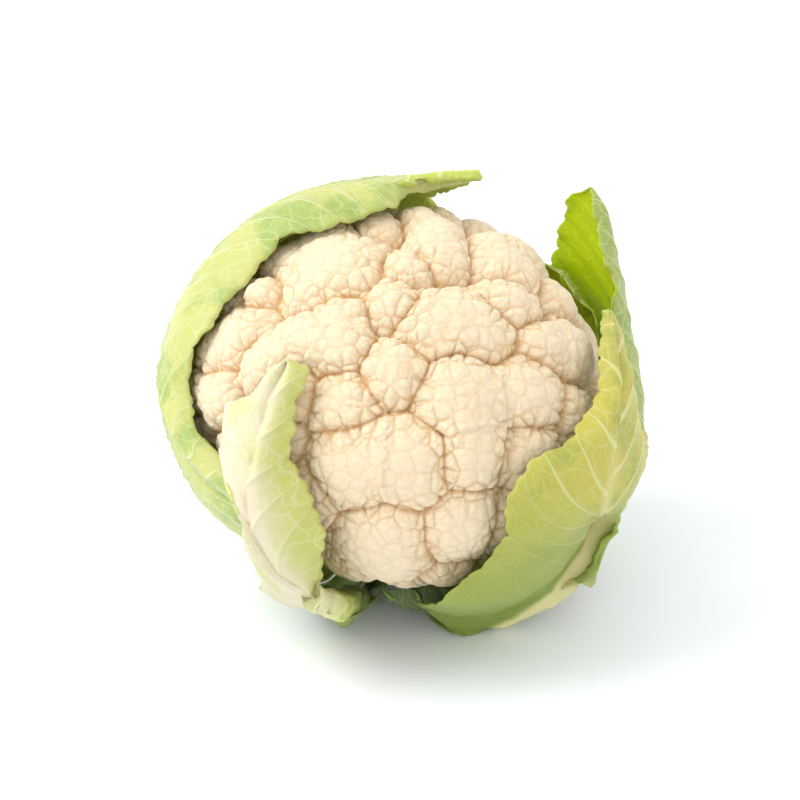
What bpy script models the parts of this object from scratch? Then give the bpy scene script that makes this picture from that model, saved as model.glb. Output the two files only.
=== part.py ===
"""A cauliflower head with its wrapper leaves, leaning on its lower leaves and on its cut stem.

Lengths are millimetres until a mesh is written, which is in metres. A leaf is set out by its midrib and
its two margins. Their points say where they show from the front of the head, right and up of its centre,
and how far they lie over the curd.
"""

import math

import bmesh
import bpy
import numpy as np
from mathutils.bvhtree import BVHTree

METRE = 0.001
GOLDEN_ANGLE = math.pi * (3 - math.sqrt(5))

# The head: how it leans, and the smooth outline that its florets stand out to.
CENTRE_HEIGHT = 80.0
FRONT_ELEVATION = math.radians(28)
POLE_ABOVE_FRONT = math.radians(40)
POLE_TO_LEFT = math.radians(5)
CURD_RADIUS = 82.0
CURD_RISE = 65.0
CURD_UNDER = 50.0
HOLLOWS = [
    ((-0.74, -0.64, 0.20), 11.0), ((0.88, 0.42, -0.10), 5.0),
    ((-0.90, 0.15, 0.40), -4.5), ((-0.50, 0.75, 0.40), -3.0),
]  # fmt: skip
HOLLOW_WIDTH = 0.48

# The florets: those that the front shows, by place and radius, then rules for the rest.
FRONT_FLORETS = [
    (-28, 50, 23), (-6, 38, 11), (1, 52, 9), (-66, 25, 16), (-56, 42, 7),
    (-52, 14, 13), (-38, 23, 12), (-24, 32, 11), (-25, 20, 13), (-5, 12, 13),
    (-23, -2, 14), (11, 31, 16), (27, 30, 16), (40, 38, 13), (53, 22, 11),
    (61, 40, 11), (21, 2, 17), (49, 2, 15), (25, -20, 14), (-19, -23, 19),
    (3, -23, 17), (-8, -56, 20), (22, -48, 16), (42, 52, 15), (13, 57, 12),
    (14, 66, 9), (35, 61, 7), (66, 21, 12), (-72, 0, 12), (-66, -19, 10),
    (-51, -15, 13), (-40, -41, 14), (51, -23, 14), (44, -49, 14), (66, -8, 12),
    (80, 2, 10), (79, -14, 9), (-81, 5, 11), (-79, -12, 9), (-77, 20, 10),
    (-30, 66, 12), (-12, 71, 10), (5, 73, 9), (-50, 56, 9),
]  # fmt: skip
HIDDEN_FLORET_RADIUS = 12.0
HIDDEN_FLORETS = 96
LOWEST_FLORET_ANGLE = math.radians(118)
FLORET_CROWDING = 0.8
FLORET_ROUNDNESS = 1.5
CREASE_FLOOR = 11.0
BUMPS_A_FLORET = 34
BUMP_SHARE = (0.13, 0.22)
BUMP_SINK = 0.70
BUMP_SPREAD = math.radians(48)
CURD_TRIANGLES = 8600
UNDERSIDE_RIDGES = 11
RIDGE_HEIGHT = 1.6

# The stem.
STEM_RADIUS = 25.0
STEM_TOP = CURD_UNDER + 0.4
STEM_END = 80.0
STEM_SIDES = 28
CUT_BEVEL = 1.5
PITH_RADIUS = 15.0
PITH_HOLLOW = 1.2

# The leaves.
LEAF_GAP = 1.6
CURD_CLEARANCE = 2.2
FEELER_SPREAD = 0.05
STEM_GAP = 0.35
INNER_TIER = 57.0
OUTER_TIER = 68.0
BLADE_THICKNESS = 1.4
RIB_WIDTH = 6.0
RIB_OUTSIDE = 0.5
ACROSS = (0.0, 0.1, 0.3, 0.55, 0.8, 1.0)
BASE_HALF_WIDTH = 13.0


def unit(vector):
    vector = np.asarray(vector, float)
    return vector / np.linalg.norm(vector, axis=-1, keepdims=True)


RIGHT = np.array((1.0, 0.0, 0.0))
UP = np.array((0.0, math.sin(FRONT_ELEVATION), math.cos(FRONT_ELEVATION)))
NEAR = np.array((0.0, -math.cos(FRONT_ELEVATION), math.sin(FRONT_ELEVATION)))
CENTRE = np.array((0.0, 0.0, CENTRE_HEIGHT))
POLE = unit(
    math.cos(POLE_ABOVE_FRONT) * NEAR
    + math.sin(POLE_ABOVE_FRONT) * UP
    - math.tan(POLE_TO_LEFT) * RIGHT
)
EAST = unit(RIGHT - (RIGHT @ POLE) * POLE)
NORTH = np.cross(POLE, EAST)


def envelope(direction):
    """How far the curd's smooth outline lies from its centre in a direction."""
    along = direction @ POLE
    across = np.sqrt(np.maximum(0.0, 1 - along**2))
    depth = np.where(along > 0, CURD_RISE, CURD_UNDER)
    outline = 1 / np.sqrt((along / depth) ** 2 + (across / CURD_RADIUS) ** 2)
    for towards, deep in HOLLOWS:
        middle = unit(towards) @ np.array((RIGHT, UP, NEAR))
        apart = np.arccos(np.clip(direction @ middle, -1, 1)) / HOLLOW_WIDTH
        outline = outline - deep * np.exp(-(apart**2))
    return outline


def beyond(points):
    """How far points lie beyond the curd's smooth outline, along their own rays."""
    return np.linalg.norm(points, axis=-1) - envelope(unit(points))


def steepening(points):
    """The way that leads out of the curd's smooth outline from points, as long as the way is steep."""
    step = 0.01
    sides = [beyond(points + step * axis) - beyond(points - step * axis) for axis in np.eye(3)]
    return np.stack(sides, axis=-1) / (2 * step)


def front(right, up, lift=0.0, side=1.0):
    """A point by where it shows from the front, lifted over the curd; side -1 is behind the head."""
    near = 0.0
    for _ in range(40):
        point = right * RIGHT + up * UP + near * NEAR
        reach = envelope(unit(point)) + lift
        near = (near + side * math.sqrt(max(0.0, reach**2 - right**2 - up**2))) / 2
    return point


def back(right, up, lift=0.0):
    return front(right, up, lift, -1.0)


def standing(right, up, near):
    """A point that stands off the head, by all three of its lengths."""
    return right * RIGHT + up * UP + near * NEAR


def round_head(azimuth, from_pole, lift=0.0):
    """A point by its angles about the pole, in degrees, lifted over the curd."""
    turn = math.radians(azimuth)
    lean = math.radians(from_pole)
    outward = math.cos(turn) * EAST + math.sin(turn) * NORTH
    direction = math.cos(lean) * POLE + math.sin(lean) * outward
    return direction * (envelope(direction) + lift)


def at_stem(azimuth, depth, aside=0.0):
    """A point on the stem's side, this far below the centre, moved aside by a length round the stem."""
    turn = math.radians(azimuth) + aside / STEM_RADIUS
    outward = math.cos(turn) * EAST + math.sin(turn) * NORTH
    return (STEM_RADIUS + STEM_GAP) * outward - depth * POLE


def spiral(count, widest):
    """Directions in a sunflower's spiral about +Z, out to this angle."""
    index = np.arange(count)
    height = 1 - (1 - math.cos(widest)) * (index + 0.5) / count
    across = np.sqrt(1 - height**2)
    turn = index * GOLDEN_ANGLE
    return np.stack([across * np.cos(turn), across * np.sin(turn), height], axis=1)


def turned(directions, axis, twist=0.0):
    """Directions about +Z carried to another axis, turned about it by twist."""
    guide = UP if abs(axis @ UP) < 0.9 else RIGHT
    side = unit(np.cross(guide, axis))
    other = np.cross(axis, side)
    east = math.cos(twist) * side + math.sin(twist) * other
    return directions @ np.array((east, np.cross(axis, east), axis))


def floret_crowns():
    """Where each floret touches the curd's outline, and its radius across the surface."""
    crowns = [front(right, up) for right, up, _ in FRONT_FLORETS]
    radii = [radius for _, _, radius in FRONT_FLORETS]
    for direction in turned(spiral(HIDDEN_FLORETS, LOWEST_FLORET_ANGLE), POLE):
        radius = HIDDEN_FLORET_RADIUS * (1 + 0.25 * math.sin(7 * direction[0] + 5 * direction[2]))
        crown = direction * envelope(direction)
        apart = np.linalg.norm(np.array(crowns) - crown, axis=1)
        if (apart > FLORET_CROWDING * (np.array(radii) + radius)).all():
            crowns.append(crown)
            radii.append(radius)
    return np.array(crowns), np.array(radii)


def bump_balls(centres, radii, outwards):
    """The lumps of each floret: fine at its crown and coarse at its rim, in a spiral."""
    found_centres = []
    found_radii = []
    rising = np.linspace(0, 1, BUMPS_A_FLORET)
    for number, (centre, radius, outward) in enumerate(zip(centres, radii, outwards)):
        spread = turned(spiral(BUMPS_A_FLORET, BUMP_SPREAD), outward, 2.4 * number)
        share = BUMP_SHARE[0] + (BUMP_SHARE[1] - BUMP_SHARE[0]) * rising
        size = radius * share * (1 + 0.15 * np.sin(3.7 * np.arange(BUMPS_A_FLORET) + number))
        found_centres.append(centre + spread * (radius - BUMP_SINK * size)[:, None])
        found_radii.append(size)
    return np.concatenate(found_centres), np.concatenate(found_radii)


def outermost(directions, centres, radii):
    """How far out each direction's ray leaves the balls, or 0 where it misses them all."""
    reach = np.zeros(len(directions))
    for start in range(0, len(directions), 4096):
        some = slice(start, start + 4096)
        along = directions[some] @ centres.T
        inside = radii**2 - (centres**2).sum(1) + along**2
        hit = np.where((inside > 0) & (along > 0), along + np.sqrt(np.maximum(inside, 0)), 0)
        reach[some] = hit.max(axis=1)
    return reach


def curd_reach(directions):
    """The curd's surface: florets and their lumps above, ribbed branches below."""
    crowns, radii = floret_crowns()
    radii = FLORET_ROUNDNESS * radii
    outwards = unit(steepening(crowns))
    centres = crowns - radii[:, None] * outwards
    reach = np.maximum(
        outermost(directions, centres, radii),
        outermost(directions, *bump_balls(centres, radii, outwards)),
    )
    along = directions @ POLE
    turn = np.arctan2(directions @ NORTH, directions @ EAST)
    ribs = RIDGE_HEIGHT * np.cos(UNDERSIDE_RIDGES * turn) * np.clip(-4 * along, 0, 1) * (1 + along)
    floor = envelope(directions) - CREASE_FLOOR * np.clip(1.9 + 2.2 * along, 0, 1)
    floor = np.where(along < 0, floor + ribs - RIDGE_HEIGHT * (1 + along), floor)
    return np.maximum(reach, floor)


def material(name, colour, roughness):
    made = bpy.data.materials.new(name)
    made.use_nodes = True
    shader = made.node_tree.nodes["Principled BSDF"]
    shader.inputs["Base Color"].default_value = (*colour, 1)
    shader.inputs["Roughness"].default_value = roughness
    made.diffuse_color = (*colour, 1)
    return made


def new_object(name, mesh, finish):
    made = bpy.data.objects.new(name, mesh)
    mesh.materials.clear()
    mesh.materials.append(finish)
    bpy.data.collections["cauliflower"].objects.link(made)
    return made


def positions(mesh):
    found = np.empty(3 * len(mesh.vertices))
    mesh.vertices.foreach_get("co", found)
    return found.reshape(-1, 3)


def place(mesh, points):
    """Writes points about the head's centre, in millimetres, as the mesh's vertices in metres."""
    mesh.vertices.foreach_set("co", ((points + CENTRE) * METRE).ravel())
    mesh.update()


def as_mesh(made):
    """The object's evaluated mesh, kept without its modifiers."""
    graph = bpy.context.evaluated_depsgraph_get()
    mesh = bpy.data.meshes.new_from_object(made.evaluated_get(graph))
    made.modifiers.clear()
    made.data = mesh
    return mesh


def build_curd():
    cage = bmesh.new()
    bmesh.ops.create_icosphere(cage, subdivisions=7, radius=1)
    mesh = bpy.data.meshes.new("curd")
    cage.to_mesh(mesh)
    cage.free()
    directions = unit(positions(mesh))
    place(mesh, directions * curd_reach(directions)[:, None])
    curd = new_object("curd", mesh, material("curd", (0.86, 0.76, 0.58), 0.6))
    fewer = curd.modifiers.new("fewer triangles", "DECIMATE")
    fewer.ratio = CURD_TRIANGLES / len(mesh.polygons)
    mesh = as_mesh(curd)
    mesh.shade_smooth()
    return tree_of(mesh)


def build_stem():
    """The cut stem: a turned profile whose lower end is worn flat where it meets the surface."""
    profile = [
        (0, -STEM_TOP),
        (STEM_RADIUS - 5, -STEM_TOP),
        (STEM_RADIUS, -STEM_TOP - 7),
        (STEM_RADIUS, -STEM_END + CUT_BEVEL),
        (STEM_RADIUS - CUT_BEVEL, -STEM_END),
        (PITH_RADIUS, -STEM_END),
        (PITH_RADIUS - PITH_HOLLOW, -STEM_END + PITH_HOLLOW),
        (0, -STEM_END + PITH_HOLLOW),
    ]
    turning = bmesh.new()
    corners = [turning.verts.new((radius, 0, along)) for radius, along in profile]
    for first, second in zip(corners, corners[1:]):
        turning.edges.new((first, second))
    mesh = bpy.data.meshes.new("stem")
    turning.to_mesh(mesh)
    turning.free()
    stem = new_object("stem", mesh, material("stem", (0.72, 0.76, 0.48), 0.55))
    turn = stem.modifiers.new("turn", "SCREW")
    turn.steps = turn.render_steps = STEM_SIDES
    turn.use_merge_vertices = True
    turn.merge_threshold = 0.0001
    mesh = as_mesh(stem)
    local = positions(mesh)
    points = local @ np.array((EAST, NORTH, POLE))
    place(mesh, points)
    on_surface(mesh)
    mesh.shade_smooth()
    mesh.set_sharp_from_angle(angle=math.radians(40))


def on_surface(mesh):
    """Flattens what lies below the surface that the head rests on."""
    found = positions(mesh)
    found[:, 2] = np.maximum(found[:, 2], 0)
    mesh.vertices.foreach_set("co", found.ravel())
    mesh.update()


def curve_through(points, count):
    """Points along a smooth curve, evenly spaced by the length between the given ones."""
    points = np.array(points, float)
    lengths = np.linalg.norm(np.diff(points, axis=0), axis=1)
    knots = np.concatenate([[0], np.cumsum(lengths)]) / lengths.sum()
    slopes = np.gradient(points, knots, axis=0)
    at = np.linspace(0, 1, count + 1)
    span = np.clip(np.searchsorted(knots, at, side="right") - 1, 0, len(knots) - 2)
    width = (knots[span + 1] - knots[span])[:, None]
    t = ((at - knots[span])[:, None]) / width
    start, end = points[span], points[span + 1]
    out, into = slopes[span] * width, slopes[span + 1] * width
    return (
        (2 * t**3 - 3 * t**2 + 1) * start
        + (t**3 - 2 * t**2 + t) * out
        + (3 * t**2 - 2 * t**3) * end
        + (t**3 - t**2) * into
    )


def over_earlier(directions, trees):
    """How far out the pieces already placed reach, in a small cone round each direction."""
    reach = np.zeros(len(directions))
    spread = [(0.0, 0.0)]
    spread += [(FEELER_SPREAD * math.cos(a), FEELER_SPREAD * math.sin(a)) for a in range(6)]
    for number, direction in enumerate(directions):
        side = unit(np.cross(direction, UP if abs(direction @ UP) < 0.9 else RIGHT))
        other = np.cross(direction, side)
        for tree in trees:
            for across, along in spread:
                ray = unit(direction + across * side + along * other)
                hit, _, _, distance = tree.ray_cast(tuple(ray * 400), tuple(-ray), 400)
                if hit is not None:
                    reach[number] = max(reach[number], 400 - distance)
    return reach


class Leaf:
    """One leaf: its midrib and margins from the stem to the tip, and how its blade is worked."""

    def __init__(self, name, azimuth, tier, midrib, left, right, **settings):
        self.name = name
        self.azimuth = azimuth
        self.tier = tier
        self.midrib = [at_stem(azimuth, tier), *midrib]
        self.left = [at_stem(azimuth, tier, -BASE_HALF_WIDTH), *left, midrib[-1]]
        self.right = [at_stem(azimuth, tier, BASE_HALF_WIDTH), *right, midrib[-1]]
        self.rows = settings.get("rows", 18)
        self.rib = settings.get("rib", 7.5)
        self.wave = settings.get("wave", 1.5)
        self.waves = settings.get("waves", 5)
        self.tooth = settings.get("tooth", 1.3)
        self.bulge = settings.get("bulge", 3.0)
        self.colour = settings.get("colour", (0.55, 0.66, 0.22))

    def grid(self):
        """Rows of points from stem to tip, each from the left margin to the right one, and their rib height."""
        midrib = curve_through(self.midrib, self.rows)
        margins = curve_through(self.left, self.rows), curve_through(self.right, self.rows)
        columns = [(-v, 0) for v in reversed(ACROSS[1:])] + [(v, 1) for v in ACROSS]
        points = np.zeros((self.rows + 1, len(columns), 3))
        ribs = np.zeros((self.rows + 1, len(columns)))
        for row in range(self.rows + 1):
            s = row / self.rows
            for column, (u, which) in enumerate(columns):
                v = abs(u)
                margin = margins[which][row]
                width = np.linalg.norm(margin - midrib[row])
                if v == 1 and 0.25 < s < 0.97:
                    v += self.tooth * (1 if row % 2 else -1) / max(width, 8)
                direction = unit((1 - v) * unit(midrib[row]) + v * unit(margin))
                reach = (1 - v) * np.linalg.norm(midrib[row]) + v * np.linalg.norm(margin)
                open_blade = math.sin(math.pi * min(1, 1.4 * s)) if s < 0.36 else 1.0
                reach += self.bulge * 4 * v * (1 - v) * open_blade
                turn = 2 * math.pi * self.waves * s + 2.1 * which
                reach += self.wave * math.sin(turn) * v**2 * open_blade * (1 - s**6)
                rib = self.rib * (1 - s) ** 0.8 * math.exp(-((v * width / RIB_WIDTH) ** 2))
                points[row, column] = direction * (reach + RIB_OUTSIDE * rib)
                ribs[row, column] = rib
        return points, ribs


def tree_of(mesh):
    """The mesh about the head's centre, in millimetres, for rays to hit."""
    found = positions(mesh) / METRE - CENTRE
    return BVHTree.FromPolygons(found.tolist(), [tuple(p.vertices) for p in mesh.polygons])


def evened(lift):
    """A grid of heights made smooth, and nowhere lower than it was."""
    around = np.pad(lift, 1, mode="edge")
    rows, columns = lift.shape
    shifts = [(r, c) for r in range(3) for c in range(3)]
    widest = np.max([around[r : r + rows, c : c + columns] for r, c in shifts], axis=0)
    around = np.pad(widest, 1, mode="edge")
    return np.mean([around[r : r + rows, c : c + columns] for r, c in shifts], axis=0)


def build_leaf(leaf, trees):
    points, ribs = leaf.grid()
    rows, columns = ribs.shape
    thickness = BLADE_THICKNESS + ribs
    flat = points.reshape(-1, 3)
    directions = unit(flat)
    reach = np.linalg.norm(flat, axis=1)
    under = np.maximum(
        envelope(directions) + CURD_CLEARANCE,
        over_earlier(directions, trees) + LEAF_GAP,
    )
    lift = np.maximum(0, under + thickness.ravel() - reach).reshape(rows, columns)
    reach += evened(lift).ravel()
    flat = directions * reach[:, None]
    flat[(rows - 1) * columns :] = flat[(rows - 1) * columns + columns // 2]

    sheet = bmesh.new()
    bmesh.ops.create_grid(sheet, x_segments=columns - 1, y_segments=rows - 1, size=1)
    mesh = bpy.data.meshes.new(leaf.name)
    sheet.to_mesh(mesh)
    sheet.free()
    place(mesh, flat)
    on_surface(mesh)
    blade = new_object(leaf.name, mesh, material(leaf.name, leaf.colour, 0.5))
    group = blade.vertex_groups.new(name="thickness")
    thickest = float(thickness.max())
    for index, value in enumerate(thickness.ravel()):
        group.add([index], value / thickest, "REPLACE")
    tip = blade.modifiers.new("tip", "WELD")
    tip.merge_threshold = 0.00001
    split = blade.modifiers.new("split", "TRIANGULATE")
    split.quad_method = "FIXED"
    body = blade.modifiers.new("body", "SOLIDIFY")
    body.thickness = thickest * METRE
    body.offset = -1
    body.vertex_group = "thickness"
    mesh = as_mesh(blade)
    clear_of_stem(mesh)
    on_surface(mesh)
    mesh.shade_smooth()
    trees.append(tree_of(mesh))


def clear_of_stem(mesh):
    """Moves what would cut the stem out to its side, leaving the gap between two pieces."""
    found = positions(mesh) / METRE - CENTRE
    along = found @ POLE
    outward = found - along[:, None] * POLE
    distance = np.linalg.norm(outward, axis=1)
    inside = (distance < STEM_RADIUS + STEM_GAP) & (along < -STEM_TOP + 1)
    factor = (STEM_RADIUS + STEM_GAP) / np.maximum(distance, 1e-6)
    found[inside] += (outward * (factor - 1)[:, None])[inside]
    place(mesh, found)


def leaves():
    """The leaves from the innermost to the outermost, as they lie over each other."""
    yield Leaf(
        "leaf_under_front", -90, INNER_TIER,
        [round_head(-80, 143, 14), front(8, -78, 9), front(6, -75, 7), front(4, -72, 5)],
        [round_head(-90, 143, 10), front(-6, -75, 7), front(-8, -71, 5), front(-4, -70, 4)],
        [round_head(-62, 140, 12), front(20, -78, 9), front(19, -72, 6), front(12, -70, 5)],
        rows=14, rib=4.0, wave=0.8, colour=(0.20, 0.30, 0.14),
    )  # fmt: skip
    yield Leaf(
        "leaf_left_wrap", -158, INNER_TIER,
        [
            round_head(-140, 138, 11), front(-50, -38, 8), front(-66, -31, 9), front(-79, -20, 9),
            front(-90, 1, 9), front(-90, 23, 9), front(-82, 42, 9), front(-67, 61, 9),
            front(-44, 76, 9), front(-28, 80, 9), front(-2, 81, 9), front(18, 84, 9), front(29, 84, 8),
        ],
        [
            round_head(-128, 138, 9), front(-46, -30, 4), front(-61, -23, 3), front(-75, -11, 3),
            front(-81, 4, 3), front(-75, 20, 3), front(-62, 42, 3), front(-43, 60, 3),
            front(-27, 66, 3), front(-13, 70, 3), front(-6, 73, 4), front(8, 80, 6),
        ],
        [
            round_head(-164, 138, 11), round_head(-168, 122, 9), back(-84, 0, 8), back(-80, 28, 8),
            back(-66, 50, 8), back(-44, 68, 8), back(-20, 76, 8), back(5, 80, 7),
        ],
        rows=24, rib=6.0, wave=1.6, waves=7, colour=(0.60, 0.70, 0.30),
    )  # fmt: skip
    yield Leaf(
        "leaf_back", 100, INNER_TIER,
        [round_head(100, 138, 11), round_head(100, 112, 9), round_head(100, 90, 7), round_head(102, 74, 5)],
        [round_head(62, 138, 7), round_head(62, 112, 6), round_head(68, 90, 5), round_head(84, 79, 4)],
        [round_head(140, 138, 7), round_head(138, 112, 6), round_head(132, 90, 5), round_head(118, 78, 4)],
        rows=16, rib=6.5, wave=2.0, waves=4, colour=(0.42, 0.58, 0.20),
    )  # fmt: skip
    yield Leaf(
        "leaf_right_back", 38, INNER_TIER,
        [round_head(38, 138, 13), round_head(38, 116, 11), round_head(40, 100, 9), round_head(44, 90, 7)],
        [round_head(4, 138, 9), round_head(8, 114, 8), round_head(16, 102, 7), round_head(32, 92, 6)],
        [round_head(74, 138, 13), round_head(72, 114, 12), round_head(66, 98, 10), round_head(54, 91, 7)],
        rows=16, rib=6.5, wave=1.6, waves=4, colour=(0.34, 0.52, 0.16),
    )  # fmt: skip
    yield Leaf(
        "leaf_right_tall", -14, OUTER_TIER,
        [
            round_head(-20, 134, 22), standing(71, -60, -20), standing(80, -48, -22),
            standing(86, -37, -23), standing(91, -23, -22), standing(92, -5, -22),
            standing(91, 10, -22), standing(88, 26, -22), standing(83, 54, -22),
            standing(77, 77, -24), standing(72, 83, -25),
        ],
        [
            round_head(8, 136, 16), round_head(10, 116, 14), back(64, -4, 12), back(62, 24, 12),
            standing(58, 46, -48), standing(57, 56, -45), standing(61, 66, -40), standing(65, 80, -32),
        ],
        [
            round_head(-30, 134, 16), standing(67, -60, -12), standing(77, -47, -14),
            standing(84, -36, -16), standing(87, -24, -16), standing(88, -14, -10),
            standing(86, -6, -6), standing(84, 8, -5), standing(81, 21, -5), standing(80, 42, -6),
            standing(76, 57, -9), standing(73, 78, -20),
        ],
        rows=22, rib=5.0, wave=1.0, waves=6, bulge=1.5, colour=(0.24, 0.42, 0.10),
    )  # fmt: skip
    yield Leaf(
        "leaf_left_back", 160, OUTER_TIER,
        [round_head(158, 140, 20), round_head(152, 118, 15), round_head(148, 98, 12), round_head(144, 80, 9)],
        [round_head(126, 140, 14), round_head(118, 118, 12), round_head(118, 98, 10), round_head(130, 84, 8)],
        [round_head(-164, 138, 18), round_head(-178, 120, 15), round_head(166, 100, 12), round_head(154, 84, 9)],
        rows=16, rib=7.0, wave=1.8, waves=4, colour=(0.38, 0.58, 0.16),
    )  # fmt: skip
    yield Leaf(
        "leaf_front_left", -122, OUTER_TIER,
        [
            round_head(-115, 143, 24), front(-20, -73, 10), front(-30, -66, 10), front(-43, -51, 11),
            front(-50, -34, 11), front(-50, -15, 10), front(-47, 1, 8), front(-40, 14, 6),
        ],
        [
            round_head(-134, 140, 14), front(-41, -62, 10), front(-52, -50, 13), front(-56, -40, 16),
            front(-58, -31, 15), front(-63, -22, 10), front(-66, -12, 6), front(-65, -4, 5),
            front(-54, 3, 5), front(-46, 12, 5),
        ],
        [
            round_head(-102, 140, 12), front(-14, -73, 6), front(-24, -64, 5), front(-28, -56, 5),
            front(-28, -48, 5), front(-31, -37, 5), front(-36, -29, 5), front(-39, -20, 5),
            front(-39, -8, 5), front(-37, 1, 5), front(-35, 12, 5),
        ],
        rows=20, rib=7.5, wave=1.0, waves=6, colour=(0.66, 0.72, 0.36),
    )  # fmt: skip
    yield Leaf(
        "leaf_lower_right", -62, OUTER_TIER,
        [
            round_head(-62, 134, 30), front(36, -84, 20), front(55, -72, 14), front(64, -58, 12),
            front(69, -47, 12), front(71, -35, 11), front(75, -12, 10), front(77, 11, 8),
            front(76, 23, 7), front(74, 33, 6),
        ],
        [
            round_head(-84, 136, 24), front(18, -79, 14), front(11, -72, 8), front(18, -66, 6),
            front(30, -57, 5), front(36, -38, 5), front(40, -26, 5), front(55, -15, 5),
            front(68, 0, 5), front(70, 19, 5),
        ],
        [
            round_head(-42, 134, 24), standing(52, -74, -12), standing(62, -70, -2),
            standing(70, -62, 2), standing(76, -51, 5), standing(81, -41, 7), standing(85, -31, 9),
            standing(89, -17, 16), standing(86, -4, 22), standing(81, 13, 26), front(76, 31, 6),
        ],
        rows=22, rib=7.5, wave=1.0, waves=6, colour=(0.52, 0.62, 0.20),
    )  # fmt: skip


def clear_scene():
    for made in list(bpy.data.objects):
        bpy.data.objects.remove(made, do_unlink=True)
    collection = bpy.data.collections.new("cauliflower")
    bpy.context.scene.collection.children.link(collection)


def main():
    clear_scene()
    trees = [build_curd()]
    build_stem()
    for leaf in leaves():
        build_leaf(leaf, trees)


main()
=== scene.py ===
# %% [markdown]
# # A cauliflower head in its leaves
#
# The solid parts of the head come first: the curd, the stem and eight leaves. Each cell then makes the
# fine surface of one of them. Everything is laid out in millimetres about the middle of the head, so the
# numbers can be held against a real one, and is turned to metres at the very end of each piece.

# %% The solid parts
import math

import bmesh
import bpy
import numpy as np
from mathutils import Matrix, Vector
from mathutils.bvhtree import BVHTree


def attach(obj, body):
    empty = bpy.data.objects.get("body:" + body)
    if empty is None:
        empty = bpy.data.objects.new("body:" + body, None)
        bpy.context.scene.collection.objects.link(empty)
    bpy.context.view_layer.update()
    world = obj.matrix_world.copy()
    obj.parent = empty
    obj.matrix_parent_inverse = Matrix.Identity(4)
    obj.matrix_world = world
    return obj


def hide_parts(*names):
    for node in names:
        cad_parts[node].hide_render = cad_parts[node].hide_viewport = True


for leftover in ("Cube", "Light", "Camera"):
    if leftover in bpy.data.objects:
        bpy.data.objects.remove(bpy.data.objects[leftover], do_unlink=True)
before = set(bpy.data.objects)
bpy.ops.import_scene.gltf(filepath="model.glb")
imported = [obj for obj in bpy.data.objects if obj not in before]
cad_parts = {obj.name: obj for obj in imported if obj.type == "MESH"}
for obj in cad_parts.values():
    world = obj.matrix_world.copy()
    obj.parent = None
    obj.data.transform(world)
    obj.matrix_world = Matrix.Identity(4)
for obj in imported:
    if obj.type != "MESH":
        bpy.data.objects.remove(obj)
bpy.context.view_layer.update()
print("solid parts:", ", ".join(sorted(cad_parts)))

# %% [markdown]
# ## How the head lies
#
# The head lies tipped forward. Three directions belong to whoever looks at it from the front and a little
# above: right, up and near. The pole is the curd's own axis, from the stem up through its crown. It could
# be set with angles on every object, but a few unit vectors let each formula below say what it means.

# %% Directions and the smooth outline of the curd
MM = 0.001
CENTRE_HEIGHT = 80.0
FRONT_ELEVATION = math.radians(28)
POLE_ABOVE_FRONT = math.radians(40)
POLE_TO_LEFT = math.radians(5)
CURD_RADIUS = 82.0
CURD_RISE = 65.0
CURD_UNDER = 50.0
HOLLOWS = [
    ((-0.74, -0.64, 0.20), 11.0), ((0.88, 0.42, -0.10), 5.0),
    ((-0.90, 0.15, 0.40), -4.5), ((-0.50, 0.75, 0.40), -3.0),
]  # fmt: skip
HOLLOW_WIDTH = 0.48


def unit(vector):
    vector = np.asarray(vector, float)
    return vector / np.linalg.norm(vector, axis=-1, keepdims=True)


RIGHT = np.array((1.0, 0.0, 0.0))
UP = np.array((0.0, math.sin(FRONT_ELEVATION), math.cos(FRONT_ELEVATION)))
NEAR = np.array((0.0, -math.cos(FRONT_ELEVATION), math.sin(FRONT_ELEVATION)))
CENTRE = np.array((0.0, 0.0, CENTRE_HEIGHT))
POLE = unit(
    math.cos(POLE_ABOVE_FRONT) * NEAR
    + math.sin(POLE_ABOVE_FRONT) * UP
    - math.tan(POLE_TO_LEFT) * RIGHT
)
EAST = unit(RIGHT - (RIGHT @ POLE) * POLE)
NORTH = np.cross(POLE, EAST)


def envelope(direction):
    """How far the curd's smooth outline lies from its middle in a direction."""
    along = direction @ POLE
    across = np.sqrt(np.maximum(0.0, 1 - along**2))
    depth = np.where(along > 0, CURD_RISE, CURD_UNDER)
    outline = 1 / np.sqrt((along / depth) ** 2 + (across / CURD_RADIUS) ** 2)
    for towards, deep in HOLLOWS:
        middle = unit(towards) @ np.array((RIGHT, UP, NEAR))
        apart = np.arccos(np.clip(direction @ middle, -1, 1)) / HOLLOW_WIDTH
        outline = outline - deep * np.exp(-(apart**2))
    return outline


def standing(right, up, near):
    return right * RIGHT + up * UP + near * NEAR


def front(right, up, lift=0.0, side=1.0):
    """A point by where it shows from the front, lifted over the curd; side -1 is behind the head."""
    near = 0.0
    for _ in range(40):
        point = right * RIGHT + up * UP + near * NEAR
        reach = envelope(unit(point)) + lift
        near = (near + side * math.sqrt(max(0.0, reach**2 - right**2 - up**2))) / 2
    return point


print("the pole points to", np.round(POLE, 2))

# %% [markdown]
# ## One helper for node trees
#
# Both the shapes and the materials below are node trees. A single function adds a node, sets its options
# and wires its inputs, so a tree reads from top to bottom like a recipe.

# %% Helpers for trees and colours
def add(tree, kind, inputs=None, **settings):
    """Adds a node with its settings; an input takes a value, an output, or a node for its first output."""
    node = tree.nodes.new(kind)
    for name, value in settings.items():
        setattr(node, name, value)
    for socket, value in (inputs or {}).items():
        if isinstance(value, bpy.types.Node):
            value = value.outputs[0]
        if isinstance(value, bpy.types.NodeSocket):
            tree.links.new(value, node.inputs[socket])
        else:
            node.inputs[socket].default_value = value
    return node


def linear(colour):
    """An sRGB hex colour as the linear numbers that a shader takes."""
    found = []
    for start in (1, 3, 5):
        c = int(colour[start : start + 2], 16) / 255
        found.append(c / 12.92 if c <= 0.04045 else ((c + 0.055) / 1.055) ** 2.4)
    return (*found, 1.0)


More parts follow.
